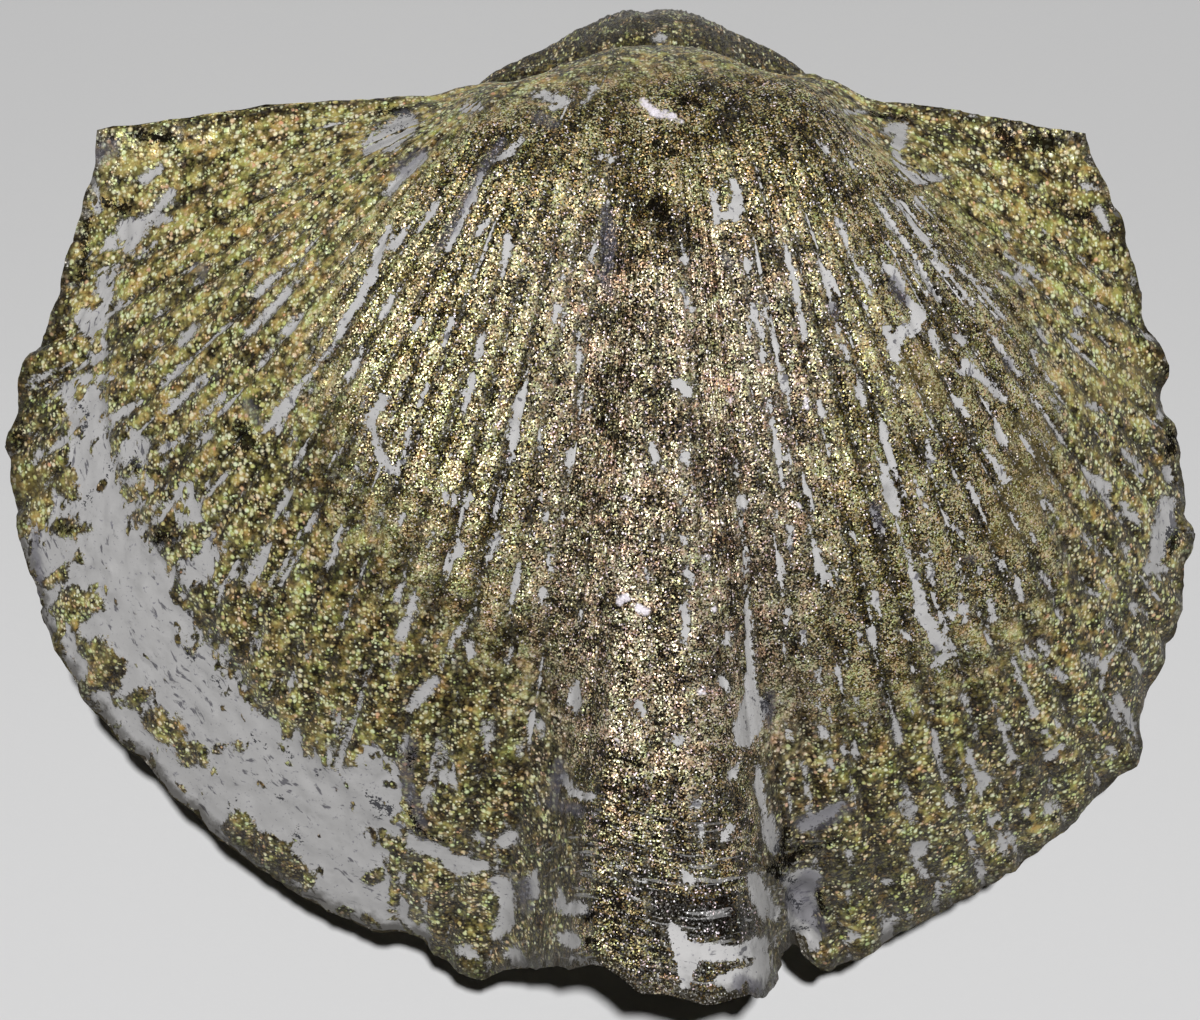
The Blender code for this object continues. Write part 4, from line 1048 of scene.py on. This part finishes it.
class Shading:
    """A material's node tree, added to one node at a time."""

    def __init__(self, name):
        self.material = bpy.data.materials.new(name)
        self.material.use_nodes = True
        self.tree = self.material.node_tree
        self.shader = self.tree.nodes["Principled BSDF"]
        self.places = self.scaled(self.add("TexCoord").outputs["Object"], 1.0 / MM)
        self.across, self.depth, _ = self.add("SeparateXYZ", {0: self.places}).outputs

    def wire(self, socket, value):
        """Link a socket to another node's output, or set it to a plain value."""
        if isinstance(value, bpy.types.NodeSocket):
            self.tree.links.new(value, socket)
        else:
            socket.default_value = value

    def add(self, kind, inputs=(), **settings):
        """Add a node, set it up and wire its inputs, given by number or by name."""
        node = self.tree.nodes.new("ShaderNode" + kind)
        for name, value in settings.items():
            setattr(node, name, value)
        for key, value in dict(inputs).items():
            self.wire(node.inputs[key], value)
        return node

    def finish(self, inputs):
        """Wire the shader's own inputs, given by name, and return the material."""
        for name, value in inputs.items():
            self.wire(self.shader.inputs[name], value)
        return self.material

    def math(self, operation, first, second=0.0, third=0.0):
        """Return the result of a sum on numbers."""
        node = self.add("Math", {0: first, 1: second, 2: third}, operation=operation)
        return node.outputs[0]

    def times(self, first, second):
        """Return the product of two numbers."""
        return self.math("MULTIPLY", first, second)

    def plus(self, value, other, weight=1.0):
        """Return a number with some of another added."""
        return self.math("MULTIPLY_ADD", other, weight, value)

    def most(self, first, *others):
        """Return the greatest of some numbers."""
        for other in others:
            first = self.math("MAXIMUM", first, other)
        return first

    def vector(self, operation, first, second=(0.0, 0.0, 0.0)):
        """Return the result of a sum on vectors."""
        return self.add("VectorMath", {0: first, 1: second}, operation=operation).outputs[0]

    def scaled(self, vector, factor):
        """Return a vector made longer by a factor."""
        return self.add("VectorMath", {0: vector, "Scale": factor}, operation="SCALE").outputs[0]

    def attribute(self, name):
        """Return a number stored on the mesh."""
        return self.add("Attribute", attribute_name=name).outputs["Fac"]

    def channels(self, colour):
        """Return the three channels of a colour."""
        return self.add("SeparateColor", {0: colour}).outputs[:3]

    def spread(self, value, low, high):
        """Return 0 below low and 1 above high, with a smooth rise between; high may be the lesser."""
        node = self.add("MapRange", {"Value": value, "From Min": low, "From Max": high},
                        interpolation_type="SMOOTHSTEP")
        return node.outputs["Result"]

    def blend(self, factor, first, second, how="MIX"):
        """Return two colours mixed."""
        node = self.add("Mix", {0: factor, 6: first, 7: second}, data_type="RGBA", blend_type=how)
        return node.outputs[2]

    def between(self, factor, first, second):
        """Return a number between two others."""
        return self.add("Mix", {0: factor, 2: first, 3: second}, data_type="FLOAT").outputs[0]

    def ramp(self, value, stops):
        """Return a colour read off a run of (position, colour) stops."""
        node = self.add("ValToRGB", {0: value})
        elements = node.color_ramp.elements
        while len(elements) < len(stops):
            elements.new(0.5)
        for element, (position, colour) in zip(elements, stops):
            element.position = position
            element.color = (*colour, 1.0)
        return node.outputs["Color"]

    def noise(self, places, clouds):
        """Return smooth noise from 0 to 1 at some places."""
        node = self.add("TexNoise", {"Vector": places, "Scale": 1.0 / clouds.size,
                                     "Detail": clouds.detail, "Roughness": clouds.roughness})
        return node.outputs["Fac"]

    def clouds(self, clouds):
        """Return smooth noise from 0 to 1 at the piece's own places."""
        return self.noise(self.places, clouds)

    def centred(self, value):
        """Return noise moved to lie about 0."""
        return self.math("SUBTRACT", value, 0.5)

    def crystals(self, size):
        """Return a Voronoi node with cells of a given size."""
        return self.add("TexVoronoi", {"Vector": self.places, "Scale": 1.0 / size})


def shade(colour, factor):
    """Return a colour made brighter or darker."""
    return tuple(min(channel * factor, 1.0) for channel in colour)


def solid(colour, factor=1.0):
    """Return a colour made brighter or darker, with its alpha."""
    return (*shade(colour, factor), 1.0)


# Crystals, in millimetres across.
FINE_CRYSTAL = 0.058
MIDDLE_CRYSTAL = 0.13
COARSE_CRYSTAL = 0.23

# Tints that crystals are given at random, the colours of the painted glints on soft crust, and the tints
# that drift over the crust.
FINE_TINTS = [(0.0, (1.0, 0.74, 0.60)), (0.25, (1.0, 0.88, 0.72)), (0.5, (1.0, 1.0, 1.0)),
              (0.75, (0.90, 1.0, 0.68)), (1.0, (1.0, 0.84, 0.95))]
PAINTED_GLINT_TINTS = [(0.0, (0.72, 0.67, 0.26)), (0.3, (0.80, 0.82, 0.42)), (0.55, (1.0, 1.0, 0.78)),
               (0.85, (0.95, 0.93, 0.58)), (0.97, (0.85, 0.56, 0.36))]
HUE_DRIFT = [(0.32, (0.80, 1.0, 0.70)), (0.5, (1.0, 1.0, 1.0)), (0.66, (1.0, 0.72, 0.66))]
FOLD_TINT = (1.0, 0.93, 0.97, 1.0)
GOLDEN_TONE = (0.38, 0.29, 0.10, 1.0)
DUST_TONE = (0.34, 0.315, 0.235, 1.0)
# Painted shade: near black, for the rims of crust round bare rock and along the margin.
PAINTED_SHADE_TONE = (0.03, 0.024, 0.014, 1.0)
# Painted shade of pits and cracks.
PIT_SHADE_TONE = (0.006, 0.005, 0.004, 1.0)
FLECK_TONE = (0.055, 0.055, 0.062, 1.0)
# Painted highlight: near white, for clusters of crystal faces and glare cells that catch the light.
PAINTED_HIGHLIGHT_TONE = (1.0, 0.93, 1.0, 1.0)

# Noise at the piece's own places.
EDGE = Clouds(0.3, 3.0, 0.65)
LACE = Clouds(0.10, 2.0, 0.6)
MOTTLE = Clouds(0.55, 3.0, 0.62)
PATCHES = Clouds(1.3, 2.0, 0.5)
BROAD_PATCHES = Clouds(2.6, 2.0, 0.5)
BLOTCHES = Clouds(0.4, 2.0, 0.55)
CLUMPS = Clouds(0.9, 2.0, 0.5)
HUES = Clouds(0.7, 4.0, 0.7)
PITS = Clouds(0.42, 3.0, 0.7)
ROCK_SPECKS = Clouds(0.2, 3.0, 0.65)
ROCK_CROWDS = Clouds(2.2, 2.0, 0.5)
ROCK_CLOUDS = Clouds(1.4, 3.0, 0.6)

# Noise in places that follow growth, and how much tighter it is packed round the shell and along it.
RIB_STREAKS = (Clouds(1.0, 2.0, 0.6), (2.4, 2.4, 0.35))
PAUSE_LINES = (Clouds(1.0, 2.0, 0.6), (0.5, 0.5, 5.0))
PAUSE_ARCS = (Clouds(1.0, 2.0, 0.55), (0.45, 0.45, 6.0))
ROCK_LINES = (Clouds(1.0, 3.0, 0.6), (1.0, 1.0, 3.0))

# Where things set in: along y or x in millimetres, or by how far the shell has grown.
AHEAD = (-8.5, -15.5)
WANING = (15.0, -16.0)
LEFT_SIDE = (-4.0, -11.0)
RIBBED_AREA = (5.0, 14.0)
FRONT_OF_FOLD = (31.0, 35.0)
# Sizes between which the margin is painted dark, as the shade on the shell's steep edge.
MARGIN_SHADE = (39.7, 40.4)
MARGIN_SHADE_RAGS = 1.2

# Ranges over which something comes to show, from not at all to fully.
SOFT_CRUST = (0.1, 0.9)
LINES_SHOW = (0.5, 0.62)
ARCS_SHOW = (0.60, 0.65)
DULL_SHOWS = (-0.1, 0.9)
GOLD_SHOWS = (-0.2, 0.5)
STAIN_SHOWS = (-0.12, 0.15)
DARK_SHOWS = (-0.03, 0.05)
# The next two set where the painted highlights and the painted glare show.
PAINTED_HIGHLIGHT_SHOWS = (-0.1, 0.06)
PAINTED_GLARE_SHOWS = (0.955, 0.975)
GRAIN_DISC = (0.62, 0.22)      # away from a grain's centre, as a share of its size
SOFT_GRAINS = (0.2, 0.8)
# Levels at which soft grains are painted as bright glints.
PAINTED_GLINT_SHOWS = (0.55, 0.8)
DUSTY_RIBS = (0.54, 0.72)
DUSTY_MOTTLE = (0.35, 0.6)
DUSTY_EDGE = (0.42, 0.62)
NEAR_ROCK = (-0.4, 0.0)
PITS_SHOW = (0.615, 0.67)
ROCK_CLOUDS_SHOW = (0.5, 0.9)
ROCK_LINES_SHOW = (0.61, 0.69)
ROCK_SPECKS_SHOW = (0.60, 0.72)

# How strongly each tone covers what lies under it. Of a pair, the first is for sharp crust and the
# second for soft crust.
SOFT_GRAIN_COVER = 0.25
HUE_COVER = (0.65, 0.95)
GOLDEN_COVER = 0.25
DUST_COVER = (0.35, 0.22)
RIM_SHADE_COVER = 0.35
PIT_SHADE_COVER = 0.8
ARC_COVER = 0.6
ROCK_SHADE_COVER = 0.55
ROCK_LINE_COVER = 0.8
ROCK_SPECK_COVER = 0.8
STAIN_COVER = 0.62
DARK_COVER = 0.95

# The edge of bare rock, and the rim of painted shade that the crust is given round it.
EDGE_LEVEL = 0.47
EDGE_RAGS = 0.6
EDGE_LACE = 0.3
EDGE_SOFTNESS = (0.015, 0.065)      # on sharp crust and on soft
RIM_SHIFT = 0.05
RIM_WIDTH = 0.09

# How the crust and the rock take the light. Of a pair, the first is for sharp crust.
SHARP_SHINE = (0.5, 0.3)       # on most of the shell, and at its front
SOFT_SHINE = 0.25
GRAIN_SHINE = -0.15
FACET_ROUGHNESS = (0.28, 0.5)
ROCK_ROUGHNESS = 0.8
FACET_TILT = (0.75, 0.3)
BUMP_DEPTH = 0.1               # millimetres
CRUST_BUMP = 0.5
MOTTLE_BUMP = 0.25
EDGE_BUMP = 0.12
SATURATION = (1.05, 0.82)      # on the flanks and on the fold
FRONT_OF_FOLD_TINT = 0.35      # share of the fold's tint that its front keeps

# How much each thing lifts or lowers the level of brightness that the crust's tones are read at. Of
# a pair, the first is for sharp crust or a flank, and the second for soft crust or the fold.
MOTTLE_LEVEL = (0.95, 1.6)
PATCH_LEVEL = 0.8
BROAD_LEVEL = 0.5
STREAK_LEVEL = (0.28, 0.1)
# Painted shade: rib furrows darker and crests lighter.
RIB_SHADE_LEVEL = (0.40, 0.08)
# Painted shade on the steep front of the fold.
AHEAD_SHADE_LEVEL = -0.19
LINE_LEVEL = -0.45
WANING_LEVEL = (0.09, -0.18)   # at the hinge and at the front
LEFT_LEVEL = 0.03
FOLD_LEVEL = 0.03
DULL_LEVEL = -0.28

# A valve's crust: its own level, and how strongly the painted shade along its margin covers it.
Crust = namedtuple("Crust", "material_name level edge_share")
BRIGHT_CRUST = Crust("pyrite_crust", 0.0, 0.75)
DULL_CRUST = Crust("dull_pyrite", -0.5, 0.85)


def tone_stops(dark, middle, painted_glint):
    """Return the run of crust colours from the darkest crystal to the brightest, whose top stops are
    painted glints.
    """
    return [(0.0, shade(dark, 0.4)), (0.33, dark), (0.48, shade(middle, 0.38)), (0.62, middle),
            (0.74, shade(middle, 2.2)), (0.87, shade(painted_glint, 0.85)), (0.96, painted_glint)]


def ground_stops(dark, middle):
    """Return the run of colours that the crust between its bright grains goes through."""
    return [(0.16, dark), (0.36, shade(middle, 0.24)), (0.5, shade(middle, 0.55)),
            (0.64, shade(middle, 1.0)), (0.82, shade(middle, 1.7)), (1.0, shade(middle, 2.8))]


class CrustShading(Shading):
    """The tree of a crust's material, with the values that several of its parts read."""

    def __init__(self, crust, colours):
        super().__init__(crust.material_name)
        self.crust = crust
        self.colours = colours
        self.grown = self.add("Attribute", attribute_name="grown").outputs["Vector"]
        self.size = self.add("SeparateXYZ", {0: self.grown}).outputs[2]
        self.bare, self.fold, self.coarse = [self.attribute(name) for name in ("bare", "fold", "coarse")]
        self.blur = self.spread(self.coarse, *SOFT_CRUST)
        self.edge_noise = self.clouds(EDGE)
        self.lace = self.clouds(LACE)
        self.mottle = self.clouds(MOTTLE)
        self.streaks = self.along_growth(RIB_STREAKS)
        self.jag = self.plus(-0.2, self.edge_noise, 0.4)
        self.ahead = self.spread(self.depth, *AHEAD)
        self.at_front = self.times(self.spread(self.size, *FRONT_OF_FOLD), self.fold)

    def along_growth(self, lines):
        """Return smooth noise from 0 to 1 in places that follow growth."""
        clouds, packing = lines
        return self.noise(self.vector("MULTIPLY", self.grown, packing), clouds)


def rock_and_rim(tree):
    """Return where rock lies bare, and the thin rim of painted shade on the crust round it."""
    edge = tree.plus(tree.math("SUBTRACT", tree.bare, EDGE_LEVEL), tree.edge_noise, EDGE_RAGS)
    edge = tree.plus(edge, tree.lace, EDGE_LACE)
    soft = tree.between(tree.blur, *EDGE_SOFTNESS)
    rock = tree.spread(edge, tree.times(soft, -1.0), soft)
    shade_rim = tree.spread(tree.math("ABSOLUTE", tree.plus(edge, RIM_SHIFT)), RIM_WIDTH, 0.0)
    return rock, shade_rim


def growth_level(tree):
    """Return how the ribs, with painted shade in their furrows and lighter crests, and the pauses in growth
    change the crust's level.
    """
    level = tree.times(tree.centred(tree.streaks), tree.between(tree.fold, *STREAK_LEVEL))
    ribbed = tree.times(tree.spread(tree.size, *RIBBED_AREA), tree.between(tree.fold, *RIB_SHADE_LEVEL))
    level = tree.plus(level, tree.math("SUBTRACT", tree.attribute("crest"), 0.55), ribbed)
    lines = tree.times(tree.spread(tree.along_growth(PAUSE_LINES), *LINES_SHOW), tree.at_front)
    return tree.plus(level, lines, LINE_LEVEL)


def place_level(tree):
    """Return how each region of the shell changes the crust's level, with painted shade on the fold's steep
    front.
    """
    level = tree.plus(tree.crust.level, tree.times(tree.ahead, tree.fold), AHEAD_SHADE_LEVEL)
    wane = tree.between(tree.spread(tree.depth, *WANING), *WANING_LEVEL)
    level = tree.plus(level, wane, tree.blur)
    level = tree.plus(level, tree.spread(tree.across, *LEFT_SIDE), LEFT_LEVEL)
    level = tree.plus(level, tree.between(tree.fold, 0.0, FOLD_LEVEL))
    dull = tree.spread(tree.plus(tree.attribute("dull"), tree.mottle, 0.8), *DULL_SHOWS)
    return tree.plus(level, dull, DULL_LEVEL)


def crust_level(tree):
    """Return the level of brightness, about 0, that the crust's tones are read at."""
    level = tree.times(tree.centred(tree.mottle), tree.between(tree.blur, *MOTTLE_LEVEL))
    level = tree.plus(level, tree.centred(tree.clouds(PATCHES)), PATCH_LEVEL)
    level = tree.plus(level, tree.centred(tree.clouds(BROAD_PATCHES)), BROAD_LEVEL)
    return tree.plus(tree.plus(level, growth_level(tree)), place_level(tree))


def fine_crust(tree, level):
    """Return the tone of sharp small crystals, with their brightest cells as painted glints and a few as
    painted highlights, and their cells' random colour.
    """
    colours = tree.colours
    cell = tree.crystals(FINE_CRYSTAL).outputs["Color"]
    tone_pick, tint_pick, glare_pick = tree.channels(cell)
    tone = tree.ramp(tree.plus(tone_pick, level), tone_stops(colours.tarnish, colours.crust, colours.painted_glint))
    tone = tree.blend(1.0, tone, tree.ramp(tint_pick, FINE_TINTS), "MULTIPLY")
    return tree.blend(tree.spread(glare_pick, *PAINTED_GLARE_SHOWS), tone, PAINTED_HIGHLIGHT_TONE), cell


def coarse_crust(tree, level):
    """Return the tone of a blotchy crust dotted with round painted glints, soft ones a little lighter and
    bright ones in the glint tints, and the share that these cover.
    """
    blotches = tree.plus(0.46, tree.centred(tree.clouds(BLOTCHES)), 2.3)
    tone = tree.ramp(tree.plus(blotches, level), ground_stops(tree.colours.tarnish, tree.colours.crust))
    level = tree.plus(level, tree.centred(tree.clouds(CLUMPS)), 2.0)
    share = 0.0
    for crystal, weight in ((MIDDLE_CRYSTAL, 1.0), (COARSE_CRYSTAL, tree.coarse)):
        grains = tree.crystals(crystal)
        bright_pick, soft_pick, tint_pick = tree.channels(grains.outputs["Color"])
        disc = tree.times(tree.spread(grains.outputs["Distance"], *GRAIN_DISC), weight)
        soft = tree.times(disc, tree.spread(soft_pick, *SOFT_GRAINS))
        tone = tree.blend(tree.times(soft, SOFT_GRAIN_COVER), tone, solid(tree.colours.crust, 2.6))
        bright = tree.spread(tree.plus(bright_pick, level, 0.5), *PAINTED_GLINT_SHOWS)
        painted_glint_cover = tree.times(disc, bright)
        tone = tree.blend(painted_glint_cover, tone, tree.ramp(tint_pick, PAINTED_GLINT_TINTS))
        share = tree.most(painted_glint_cover, share)
    return tone, share


def tinted(tree, tone, level):
    """Return the crust's tone with its drifting hues, its greyer fold and its golden patches."""
    drift = tree.between(tree.most(tree.fold, tree.blur), *HUE_COVER)
    tone = tree.blend(drift, tone, tree.ramp(tree.clouds(HUES), HUE_DRIFT), "MULTIPLY")
    pale = tree.times(tree.fold, tree.between(tree.ahead, 1.0, FRONT_OF_FOLD_TINT))
    grey = tree.add("HueSaturation", {"Saturation": tree.between(pale, *SATURATION), "Color": tone})
    tone = tree.blend(pale, grey.outputs[0], FOLD_TINT, "MULTIPLY")
    golden = tree.spread(tree.plus(tree.attribute("gold"), level, 0.8), *GOLD_SHOWS)
    return tree.blend(tree.times(golden, GOLDEN_COVER), tone, GOLDEN_TONE)


def dusted(tree, tone, shade_rim):
    """Return the crust's tone with dust along ribs and round bare rock, painted shade on its rims round
    bare rock, and dark spots painted as the shade in its pits.
    """
    on_ribs = tree.times(tree.spread(tree.streaks, *DUSTY_RIBS), tree.spread(tree.mottle, *DUSTY_MOTTLE))
    by_rock = tree.times(tree.spread(tree.bare, *NEAR_ROCK), tree.spread(tree.edge_noise, *DUSTY_EDGE))
    dust = tree.times(tree.most(on_ribs, by_rock), tree.between(tree.blur, *DUST_COVER))
    tone = tree.blend(dust, tone, DUST_TONE)
    # Painted shade on the rim of crust round bare rock.
    tone = tree.blend(tree.times(shade_rim, RIM_SHADE_COVER), tone, PAINTED_SHADE_TONE)
    # Small dark spots painted as the shade in pits.
    pits = tree.spread(tree.clouds(PITS), *PITS_SHOW)
    tone = tree.blend(tree.times(pits, PIT_SHADE_COVER), tone, PIT_SHADE_TONE)
    arcs = tree.times(tree.spread(tree.along_growth(PAUSE_ARCS), *ARCS_SHOW), tree.at_front)
    return tree.blend(tree.times(arcs, ARC_COVER), tone, solid(tree.colours.rock, 0.8))


def bare_rock(tree):
    """Return the tone of bare rock, with its specks and the streaks that follow growth lines."""
    rock, stain = tree.colours.rock, tree.colours.stain
    lines = tree.plus(tree.along_growth(ROCK_LINES), tree.centred(tree.clouds(ROCK_CROWDS)), 0.35)
    tone = tree.blend(tree.times(tree.coarse, ROCK_SHADE_COVER), solid(rock), solid(rock, 0.72))
    broad = tree.spread(tree.clouds(ROCK_CLOUDS), *ROCK_CLOUDS_SHOW)
    tone = tree.blend(broad, tone, solid(rock, 0.55))
    lines = tree.times(tree.spread(lines, *ROCK_LINES_SHOW), ROCK_LINE_COVER)
    tone = tree.blend(lines, tone, solid(stain, 0.6))
    specks = tree.times(tree.spread(tree.clouds(ROCK_SPECKS), *ROCK_SPECKS_SHOW), ROCK_SPECK_COVER)
    return tree.blend(specks, tone, solid(stain, 1.3))


def marked(tree, tone, rock, dark, painted_highlight):
    """Return the surface's tone with painted shade along its margin, stains, dark marks with painted shade
    in pits and cracks, and painted highlights.
    """
    # Painted shade along the margin.
    margin_shade = tree.spread(tree.plus(tree.size, tree.mottle, MARGIN_SHADE_RAGS), *MARGIN_SHADE)
    tone = tree.blend(tree.times(margin_shade, tree.crust.edge_share), tone, PAINTED_SHADE_TONE)
    stain = tree.spread(tree.plus(tree.attribute("stain"), tree.jag), *STAIN_SHOWS)
    tone = tree.blend(tree.times(stain, STAIN_COVER), tone, solid(tree.colours.stain))
    # Dark marks, painted shade of pits and cracks and dark crystals: near black on crust, dark grey on
    # rock.
    tone = tree.blend(tree.times(dark, DARK_COVER), tone, tree.blend(rock, PIT_SHADE_TONE, FLECK_TONE))
    return tree.blend(painted_highlight, tone, PAINTED_HIGHLIGHT_TONE)


def facet_bump(tree, cell, not_rock):
    """Return the normal of a surface of tilted crystals over soft lumps."""
    facets = tree.times(not_rock, tree.between(tree.blur, *FACET_TILT))
    tilt = tree.scaled(tree.vector("SUBTRACT", cell, (0.5, 0.5, 0.5)), facets)
    normal = tree.add("NewGeometry").outputs["Normal"]
    facet = tree.vector("NORMALIZE", tree.vector("ADD", normal, tilt))
    height = tree.plus(tree.times(not_rock, CRUST_BUMP), tree.mottle, MOTTLE_BUMP)
    height = tree.plus(height, tree.edge_noise, EDGE_BUMP)
    bump = tree.add("Bump", {"Strength": 1.0, "Distance": BUMP_DEPTH * MM, "Height": height,
                             "Normal": facet})
    return bump.outputs["Normal"]


def crust_material(crust, colours):
    """Return pyrite crust with its crystals, over rock that shows wherever the crust is gone."""
    tree = CrustShading(crust, colours)
    rock, shade_rim = rock_and_rim(tree)
    level = crust_level(tree)
    sharp_tone, cell = fine_crust(tree, level)
    soft_tone, painted_glint_cover = coarse_crust(tree, level)
    tone = tinted(tree, tree.blend(tree.blur, sharp_tone, soft_tone), level)
    tone = tree.blend(rock, dusted(tree, tone, shade_rim), bare_rock(tree))
    lace = tree.plus(tree.plus(-1.08, tree.edge_noise, 1.1), tree.lace, 0.9)
    dark = tree.spread(tree.plus(tree.attribute("dark"), lace), *DARK_SHOWS)
    # Painted highlights where the marks put them.
    painted_highlight = tree.spread(tree.plus(tree.attribute("painted_highlight"), tree.jag), *PAINTED_HIGHLIGHT_SHOWS)

    soft_shine = tree.plus(SOFT_SHINE, painted_glint_cover, GRAIN_SHINE)
    shine = tree.between(tree.blur, tree.between(tree.ahead, *SHARP_SHINE), soft_shine)
    crusted = tree.math("SUBTRACT", 1.0, tree.most(rock, painted_highlight, dark))
    facet_roughness = tree.between(tree.channels(cell)[2], *FACET_ROUGHNESS)
    return tree.finish({"Base Color": marked(tree, tone, rock, dark, painted_highlight),
                        "Metallic": tree.times(crusted, shine),
                        "Roughness": tree.between(rock, facet_roughness, ROCK_ROUGHNESS),
                        "Specular IOR Level": tree.between(dark, 0.5, 0.0),
                        "Normal": facet_bump(tree, cell, tree.math("SUBTRACT", 1.0, rock))})


PAPER_FIBRES = Clouds(0.6, 4.0, 0.6)
# Painted fall-off of light: the paper darker towards its back.
PAPER_SHADE_SPAN = (-30.0, 30.0)    # along y, in millimetres
FAR_PAPER_SHADE = 0.73               # brightness of the far paper over that of the near
FIBRE_COVER = 0.06
PAPER_ROUGHNESS = 0.85


def paper_material(name, tone):
    """Return smooth pale paper with faint fibres, painted darker towards its back as a fall-off of light.
    """
    tree = Shading(name)
    fibres = tree.clouds(PAPER_FIBRES)
    pale = shade((1.0, 1.0, 1.005), tone)
    colour = tree.blend(tree.spread(tree.depth, *PAPER_SHADE_SPAN), solid(pale), solid(pale, FAR_PAPER_SHADE))
    colour = tree.blend(tree.times(fibres, FIBRE_COVER), colour, solid(pale, 0.7))
    bump = tree.add("Bump", {"Strength": 0.15, "Distance": 0.05 * MM, "Height": fibres})
    return tree.finish({"Base Color": colour, "Roughness": PAPER_ROUGHNESS,
                        "Normal": bump.outputs["Normal"]})


class FOSSIL_OT_upper_valve(bpy.types.Operator):
    """Grow the upper valve, with its fold, ledge, chips and crust"""

    bl_idname = "fossil.upper_valve"
    bl_label = "Upper Valve"

    def execute(self, context):
        shape = context.scene.fossil_shape
        valve = Valve(BRACHIAL, shape)
        wear_upper(valve)
        read_marks(valve, 3.0)
        read_tones(valve)
        valve.raise_by(relief(valve, 7.0))
        material = crust_material(BRIGHT_CRUST, context.scene.fossil_colours)
        add_valve("ribbed_upper_valve", valve, 0.5 * shape.seam_gap / MM, material,
                  "brachial_valve")
        return {"FINISHED"}


class FOSSIL_OT_lower_valve(bpy.types.Operator):
    """Grow the lower valve, with its groove, beak and worn flats"""

    bl_idname = "fossil.lower_valve"
    bl_label = "Lower Valve"

    def execute(self, context):
        shape = context.scene.fossil_shape
        valve = Valve(PEDICLE, shape)
        read_marks(valve, 11.0)
        read_tones(valve)
        valve.raise_by(relief(valve, 19.0))
        material = crust_material(DULL_CRUST, context.scene.fossil_colours)
        add_valve("ribbed_lower_valve", valve, -0.5 * shape.seam_gap / MM, material,
                  "pedicle_valve")
        return {"FINISHED"}


class FOSSIL_OT_stage(bpy.types.Operator):
    """Lay the paper floor, and set up the lights and the camera"""

    bl_idname = "fossil.stage"
    bl_label = "Stage"

    def execute(self, context):
        stage = context.scene.fossil_stage
        lay_floor(stage)
        hang_lights(stage)
        place_camera(stage)
        context.scene.view_settings.view_transform = "Standard"
        return {"FINISHED"}


# The stage is in metres, with its sensor in millimetres.
FLOOR_SIZE = 3.0
SENSOR_WIDTH = 36.0
VIEW_WIDTH = 0.05106           # width that the camera sees at the height of the plan
CAMERA_Y = -0.00064
KEY_DIRECTION = (0.028, 0.12, 1.0)
KEY_DISTANCE = 3.0
KEY_SIZE = 0.075
PANEL_PLACE = (-0.25, 0.55, 0.5)
PANEL_SIZE = 0.35


def lay_floor(stage):
    """Lay a wide sheet of pale paper under the shell."""
    bm = bmesh.new()
    bmesh.ops.create_grid(bm, x_segments=1, y_segments=1, size=0.5 * FLOOR_SIZE)
    mesh = bpy.data.meshes.new("paper_floor")
    bm.to_mesh(mesh)
    bm.free()
    mesh.materials.append(paper_material("pale_paper", stage.floor_tone))
    floor = bpy.data.objects.new("paper_floor", mesh)
    bpy.context.scene.collection.objects.link(floor)


def hang_lamp(name, place, size, power):
    """Hang a round soft lamp that points at the shell."""
    lamp = bpy.data.lights.new(name, "AREA")
    lamp.shape = "DISK"
    lamp.size = size
    lamp.energy = power
    holder = bpy.data.objects.new(name, lamp)
    holder.location = place
    holder.rotation_euler = (-Vector(place)).to_track_quat("-Z", "Y").to_euler()
    bpy.context.scene.collection.objects.link(holder)


def hang_lights(stage):
    """Hang the key overhead and the wide panel behind, and let a little light in from all round."""
    hang_lamp("key", Vector(KEY_DIRECTION).normalized() * KEY_DISTANCE, KEY_SIZE, stage.key_power)
    hang_lamp("panel", Vector(PANEL_PLACE), PANEL_SIZE, stage.panel_power)
    world = bpy.data.worlds.new("dim_room")
    world.use_nodes = True
    background = world.node_tree.nodes["Background"]
    background.inputs["Color"].default_value = (1.0, 1.0, 1.0, 1.0)
    background.inputs["Strength"].default_value = stage.fill
    bpy.context.scene.world = world


def place_camera(stage):
    """Hang the camera straight above the shell."""
    camera = bpy.data.cameras.new("overhead")
    camera.sensor_width = SENSOR_WIDTH
    camera.lens = SENSOR_WIDTH * (stage.camera_height - PLAN_HEIGHT * MM) / VIEW_WIDTH
    camera.clip_start = 0.01
    camera.clip_end = 10.0
    holder = bpy.data.objects.new("overhead", camera)
    holder.location = (0.0, CAMERA_Y, stage.camera_height)
    bpy.context.scene.collection.objects.link(holder)
    bpy.context.scene.camera = holder


class FOSSIL_PT_sidebar(bpy.types.Panel):
    """Lists the fossil's settings and the operators that make its pieces"""

    bl_idname = "FOSSIL_PT_sidebar"
    bl_label = "Pyritised Brachiopod"
    bl_space_type = "VIEW_3D"
    bl_region_type = "UI"
    bl_category = "Fossil"

    def draw(self, context):
        scene = context.scene
        for title, settings in (("Shape", scene.fossil_shape), ("Colours", scene.fossil_colours),
                                ("Stage", scene.fossil_stage)):
            box = self.layout.box()
            box.label(text=title)
            for name in settings.__annotations__:
                box.prop(settings, name)
        for operator in OPERATORS:
            self.layout.operator(operator.bl_idname)


OPERATORS = (FOSSIL_OT_upper_valve, FOSSIL_OT_lower_valve, FOSSIL_OT_stage)
CLASSES = (FossilShape, FossilColours, FossilStage, *OPERATORS, FOSSIL_PT_sidebar)


def register():
    for item in CLASSES:
        bpy.utils.register_class(item)
    bpy.types.Scene.fossil_shape = PointerProperty(type=FossilShape)
    bpy.types.Scene.fossil_colours = PointerProperty(type=FossilColours)
    bpy.types.Scene.fossil_stage = PointerProperty(type=FossilStage)


def unregister():
    del bpy.types.Scene.fossil_stage
    del bpy.types.Scene.fossil_colours
    del bpy.types.Scene.fossil_shape
    for item in reversed(CLASSES):
        bpy.utils.unregister_class(item)


def main():
    register()
    bpy.ops.fossil.upper_valve()
    bpy.ops.fossil.lower_valve()
    bpy.ops.fossil.stage()


if __name__ == "__main__":
    main()
